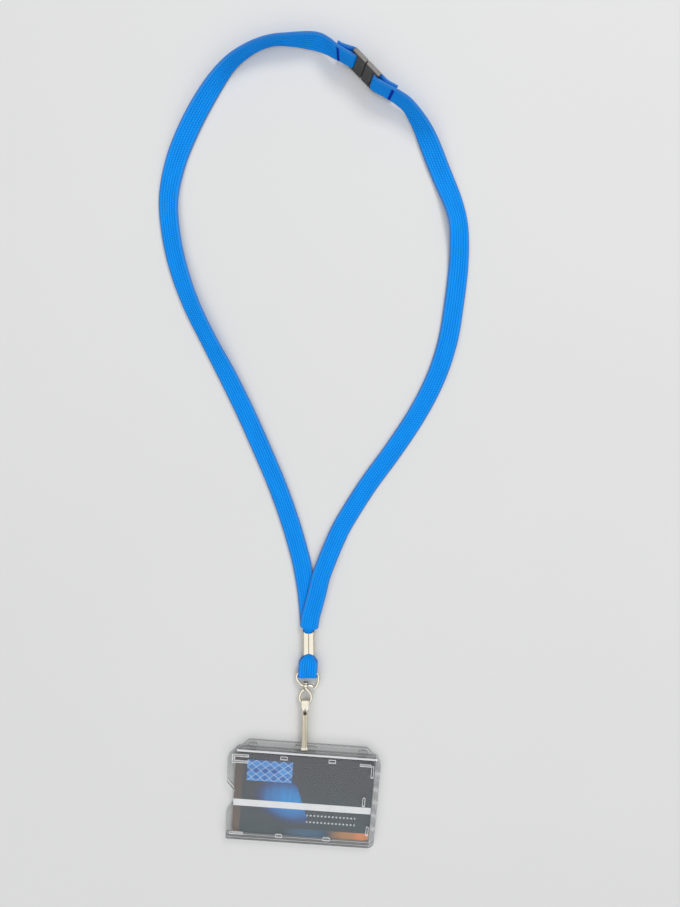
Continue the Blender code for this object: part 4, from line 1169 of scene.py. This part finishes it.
class OBJECT_OT_clasp(bpy.types.Operator):
    """Finish both halves of the breakaway clasp."""

    bl_idname = "lanyard.clasp"
    bl_label = "Clasp"

    def execute(self, context):
        material = finish_for("clasp_black", clasp_finish)
        for node, body in (("clasp_socket", "neck_strap"), ("clasp_plug", "clasp_plug")):
            obj = rounded_solid(node, "shell", settings().edge_radius, segments=2)
            dressed(obj, body, material, node)
        return {"FINISHED"}


class OBJECT_OT_crimp(bpy.types.Operator):
    """Finish the crimp sleeve."""

    bl_idname = "lanyard.crimp"
    bl_label = "Crimp sleeve"

    def execute(self, context):
        top = CRIMP_PLACE + Vector((0, CRIMP_LENGTH, 0))
        seam = (top, SEAM_LENGTH, 0.0, SEAM_HALF_WIDTH, CRIMP_SEAM_DEPTH)
        nickel = finish_for("crimp_nickel", nickel_finish, roughness=0.15, scratch=0.10, seam=seam)
        obj = rounded_solid("crimp_sleeve", "shell", SHEET_EDGE, segments=2, degrees=SHEET_ANGLE)
        dressed(obj, "neck_strap", nickel, "crimp_sleeve")
        return {"FINISHED"}


HARDWARE_FRAME = Matrix.Translation(JOINT_PLACES["ring_swing"]) @ Matrix.Rotation(
    math.radians(HARDWARE_LEAN), 4, "Z"
)
# Bends of the wires, as shares of their half width and of their length
RING_SHARES = (
    (0.66, -1.23),
    (0.78, -1.09),
    (0.92, -0.87),
    (1.01, -0.62),
    (1.02, -0.35),
    (1.00, -0.14),
    (0.86, 0.00),
    (0.50, 0.00),
    (0.00, 0.00),
    (-0.50, 0.00),
    (-0.86, 0.00),
    (-1.00, -0.14),
    (-1.01, -0.38),
    (-0.87, -0.63),
    (-0.64, -0.87),
    (-0.46, -1.00),
    (-0.18, -1.00),
    (0.10, -1.00),
    (0.30, -1.02),
    (0.50, -1.09),
)
EYE_SHARES = (
    (0.06, 0.17),
    (0.42, 0.29),
    (0.82, 0.46),
    (1.00, 0.65),
    (0.93, 0.82),
    (0.76, 0.93),
    (0.56, 0.98),
    (0.00, 1.00),
    (-0.56, 0.98),
    (-0.76, 0.93),
    (-0.93, 0.82),
    (-1.00, 0.65),
    (-0.84, 0.47),
    (-0.58, 0.32),
    (-0.22, 0.245),
)


class OBJECT_OT_ring(bpy.types.Operator):
    """Bend the wire ring, with its eyelet for the swivel."""

    bl_idname = "lanyard.ring"
    bl_label = "Wire ring"

    def execute(self, context):
        points = [(x * RING_HALF_WIDTH, y * RING_DROP, 0.0) for x, y in RING_SHARES]
        curve = spline(points, WIRE_STEPS)
        inside = [
            index
            for index, (x, y, _) in enumerate(curve)
            if y < -RING_DROP / 2 and abs(x - SWIVEL_OFFSET) < EYELET_RADIUS * EYELET_ENTRY
        ]
        pieces = [
            wire("ring_wire", curve[: inside[0]], WIRE_RADIUS),
            wire("ring_tail", curve[inside[-1] + 1 :], WIRE_RADIUS),
        ]
        bpy.ops.object.select_all(action="DESELECT")
        bpy.ops.mesh.primitive_torus_add(
            major_segments=40,
            minor_segments=20,
            major_radius=(EYELET_RADIUS + SHANK_RADIUS) / 2 + FINE_GAP,
            minor_radius=(EYELET_RADIUS - SHANK_RADIUS) / 2,
            location=(SWIVEL_OFFSET, -RING_DROP, 0),
            rotation=(math.pi / 2, 0, 0),
        )
        eyelet = bpy.context.object
        eyelet.scale = (1, 1, EYELET_LENGTH / (EYELET_RADIUS - SHANK_RADIUS))
        only(eyelet)
        bpy.ops.object.transform_apply(location=True, rotation=True, scale=True)
        smoothed(eyelet, ROUND_ANGLE)
        ring = joined(*pieces, eyelet)
        ring.name = "strap_ring_wire"
        placed(ring, HARDWARE_FRAME)
        dressed(ring, "ring", wire_finish(), "strap_ring")
        return {"FINISHED"}


class OBJECT_OT_swivel(bpy.types.Operator):
    """Bend the swivel's wire eye and upset its head."""

    bl_idname = "lanyard.swivel"
    bl_label = "Swivel eye"

    def execute(self, context):
        foot = EYELET_LENGTH / 2 + GAP
        head_middle = foot + HEAD_THICKNESS / 2

        def shank_share(place):
            share = (-foot - place[1]) / SHANK_TAPER
            return blend(SHANK_RADIUS, WIRE_RADIUS, share) / WIRE_RADIUS

        points = [(0.0, head_middle, 0.0), (0.0, 0.0, 0.0), (0.0, -foot, 0.0)]
        points += [(x * EYE_HALF_WIDTH, -y * EYE_DROP, 0.0) for x, y in EYE_SHARES]
        eye = wire("swivel_wire", spline(points, WIRE_STEPS), WIRE_RADIUS, shank_share)
        bpy.ops.object.select_all(action="DESELECT")
        bpy.ops.mesh.primitive_cylinder_add(
            vertices=32,
            radius=HEAD_RADIUS,
            depth=HEAD_THICKNESS,
            location=(0, head_middle, 0),
            rotation=(math.pi / 2, 0, 0),
        )
        head = bpy.context.object
        bpy.ops.object.transform_apply(location=True, rotation=True, scale=True)
        rounding = HEAD_THICKNESS * HEAD_ROUNDING
        modified(head, "BEVEL", width=rounding, segments=4, limit_method="ANGLE")
        smoothed(head, ROUND_ANGLE)
        swivel = joined(eye, head)
        swivel.name = "swivel_eye_wire"
        placed(swivel, HARDWARE_FRAME @ Matrix.Translation((SWIVEL_OFFSET, -RING_DROP, 0)))
        dressed(swivel, "swivel", wire_finish(), "swivel_eye")
        return {"FINISHED"}


class OBJECT_OT_hook(bpy.types.Operator):
    """Finish the J hook and its gate."""

    bl_idname = "lanyard.hook"
    bl_label = "J hook"

    def execute(self, context):
        top = JOINT_PLACES["hook_swing"] - Vector((0, HOOK_SEAM_DROP, 0))
        seam = (top, SEAM_LENGTH, HOOK_SLANT, SEAM_HALF_WIDTH, HOOK_SEAM_DEPTH)
        plate = finish_for(
            "nickel_plate", nickel_finish, roughness=0.24, scratch=0.12, metallic=0.7, seam=seam
        )
        # Painted shade: the gate is darkened where it shows in the hook's hole
        hole_top = top + Vector((0, HOOK_HOLE_LENGTH, 0))
        hole = (hole_top, HOOK_HOLE_LENGTH, HOOK_SLANT, HOOK_HOLE_LENGTH, HOOK_HOLE_SHADE_DEPTH)
        spring = finish_for("spring_steel", nickel_finish, roughness=0.24, scratch=0.16, seam=hole)
        for node, kind, body, slot, material in (
            ("hook_body", "shell", "hook", "nickel_plate", plate),
            ("hook_gate", "spring", "gate", "spring_steel", spring),
        ):
            obj = rounded_solid(node, kind, SHEET_EDGE, segments=2, degrees=SHEET_ANGLE)
            dressed(obj, body, material, node)
        return {"FINISHED"}


class OBJECT_OT_holder(bpy.types.Operator):
    """Finish the holder's two clear mouldings."""

    bl_idname = "lanyard.holder"
    bl_label = "Holder"

    def execute(self, context):
        material = finish_for("clear_plastic", clear_finish)
        for node in ("back_shell", "front_cover"):
            obj = rounded_solid(node, "moulding", settings().edge_radius)
            dressed(obj, "holder", material, node)
        return {"FINISHED"}


class OBJECT_OT_card(bpy.types.Operator):
    """Print the card and lay its label strip."""

    bl_idname = "lanyard.card"
    bl_label = "Card"

    def execute(self, context):
        for node, slot, maker in (
            ("card", "card_print", card_finish),
            ("label_strip", "label_white", label_finish),
        ):
            obj = solid_copy(node, node + "_face")
            smoothed(obj)
            modified(obj, "WEIGHTED_NORMAL", keep_sharp=True, weight=100)
            dressed(obj, "card", finish_for(slot, maker), node)
        return {"FINISHED"}


# Stage

CAMERA_REACH = Vector((0.01868, 0.17129, 0.38900))
CAMERA_PLACE = CRIMP_PLACE + CAMERA_REACH
CAMERA_TILT = -8.4
CAMERA_LENS = 27.03
CAMERA_CLIP = 0.01
SENSOR_HEIGHT = 36.0
FLOOR_SIZE = 6.0
FLOOR_DROP = 0.0004
# Lamps: name, place, size and power
LAMPS = (
    ("top_light", Vector((0.0, -0.25, 1.40)), 3.4, 30.0),
    ("key_light", Vector((0.53, 1.22, 1.05)), 0.45, 9.0),
)
WORLD_STRENGTH = 0.34


class OBJECT_OT_stage(bpy.types.Operator):
    """Set the floor, the lamps, the world and the camera."""

    bl_idname = "lanyard.stage"
    bl_label = "Stage"

    def execute(self, context):
        scene = context.scene
        bpy.ops.object.select_all(action="DESELECT")
        bpy.ops.mesh.primitive_plane_add(size=FLOOR_SIZE, location=(0, 0, -FLOOR_DROP))
        floor = context.object
        floor.name = "stage_floor"
        placed(floor, Matrix.Identity(4))
        floor.data.materials.append(finish_for("stage_floor", floor_finish))
        for name, place, size, power in LAMPS:
            lamp = bpy.data.lights.new(name, "AREA")
            lamp.size = size
            lamp.energy = power
            obj = linked(name, lamp)
            obj.location = place
            obj.rotation_euler = (-place).to_track_quat("-Z", "Y").to_euler()
        world = bpy.data.worlds.new("soft_studio")
        world.use_nodes = True
        background = world.node_tree.nodes["Background"]
        background.inputs["Color"].default_value = WORLD_TONE
        background.inputs["Strength"].default_value = WORLD_STRENGTH
        scene.world = world
        data = bpy.data.cameras.new("photo_camera")
        data.sensor_fit = "VERTICAL"
        data.sensor_height = SENSOR_HEIGHT
        data.lens = CAMERA_LENS
        data.clip_start = CAMERA_CLIP
        camera = linked("photo_camera", data)
        camera.location = CAMERA_PLACE
        camera.rotation_euler = (math.radians(CAMERA_TILT), 0, 0)
        scene.camera = camera
        scene.view_settings.view_transform = "Standard"
        return {"FINISHED"}


BUILD_ORDER = (
    OBJECT_OT_stage,
    OBJECT_OT_neck_strap,
    OBJECT_OT_ring_loop,
    OBJECT_OT_bar_tacks,
    OBJECT_OT_clasp,
    OBJECT_OT_crimp,
    OBJECT_OT_ring,
    OBJECT_OT_swivel,
    OBJECT_OT_hook,
    OBJECT_OT_holder,
    OBJECT_OT_card,
)


class VIEW3D_PT_lanyard(bpy.types.Panel):
    """Lanyard tools in the 3D view's sidebar."""

    bl_idname = "VIEW3D_PT_lanyard"
    bl_label = "Lanyard card holder"
    bl_space_type = "VIEW_3D"
    bl_region_type = "UI"
    bl_category = "Lanyard"

    def draw(self, context):
        for name in LanyardSettings.__annotations__:
            self.layout.prop(context.scene.lanyard, name)
        for operator in BUILD_ORDER:
            self.layout.operator(operator.bl_idname)


CLASSES = (LanyardSettings, *BUILD_ORDER, VIEW3D_PT_lanyard)


def register():
    for cls in CLASSES:
        bpy.utils.register_class(cls)
    bpy.types.Scene.lanyard = PointerProperty(type=LanyardSettings)


def unregister():
    del bpy.types.Scene.lanyard
    for cls in reversed(CLASSES):
        bpy.utils.unregister_class(cls)


def main():
    register()
    for operator in BUILD_ORDER:
        getattr(bpy.ops.lanyard, operator.bl_idname.split(".")[1])()


if __name__ == "__main__":
    main()
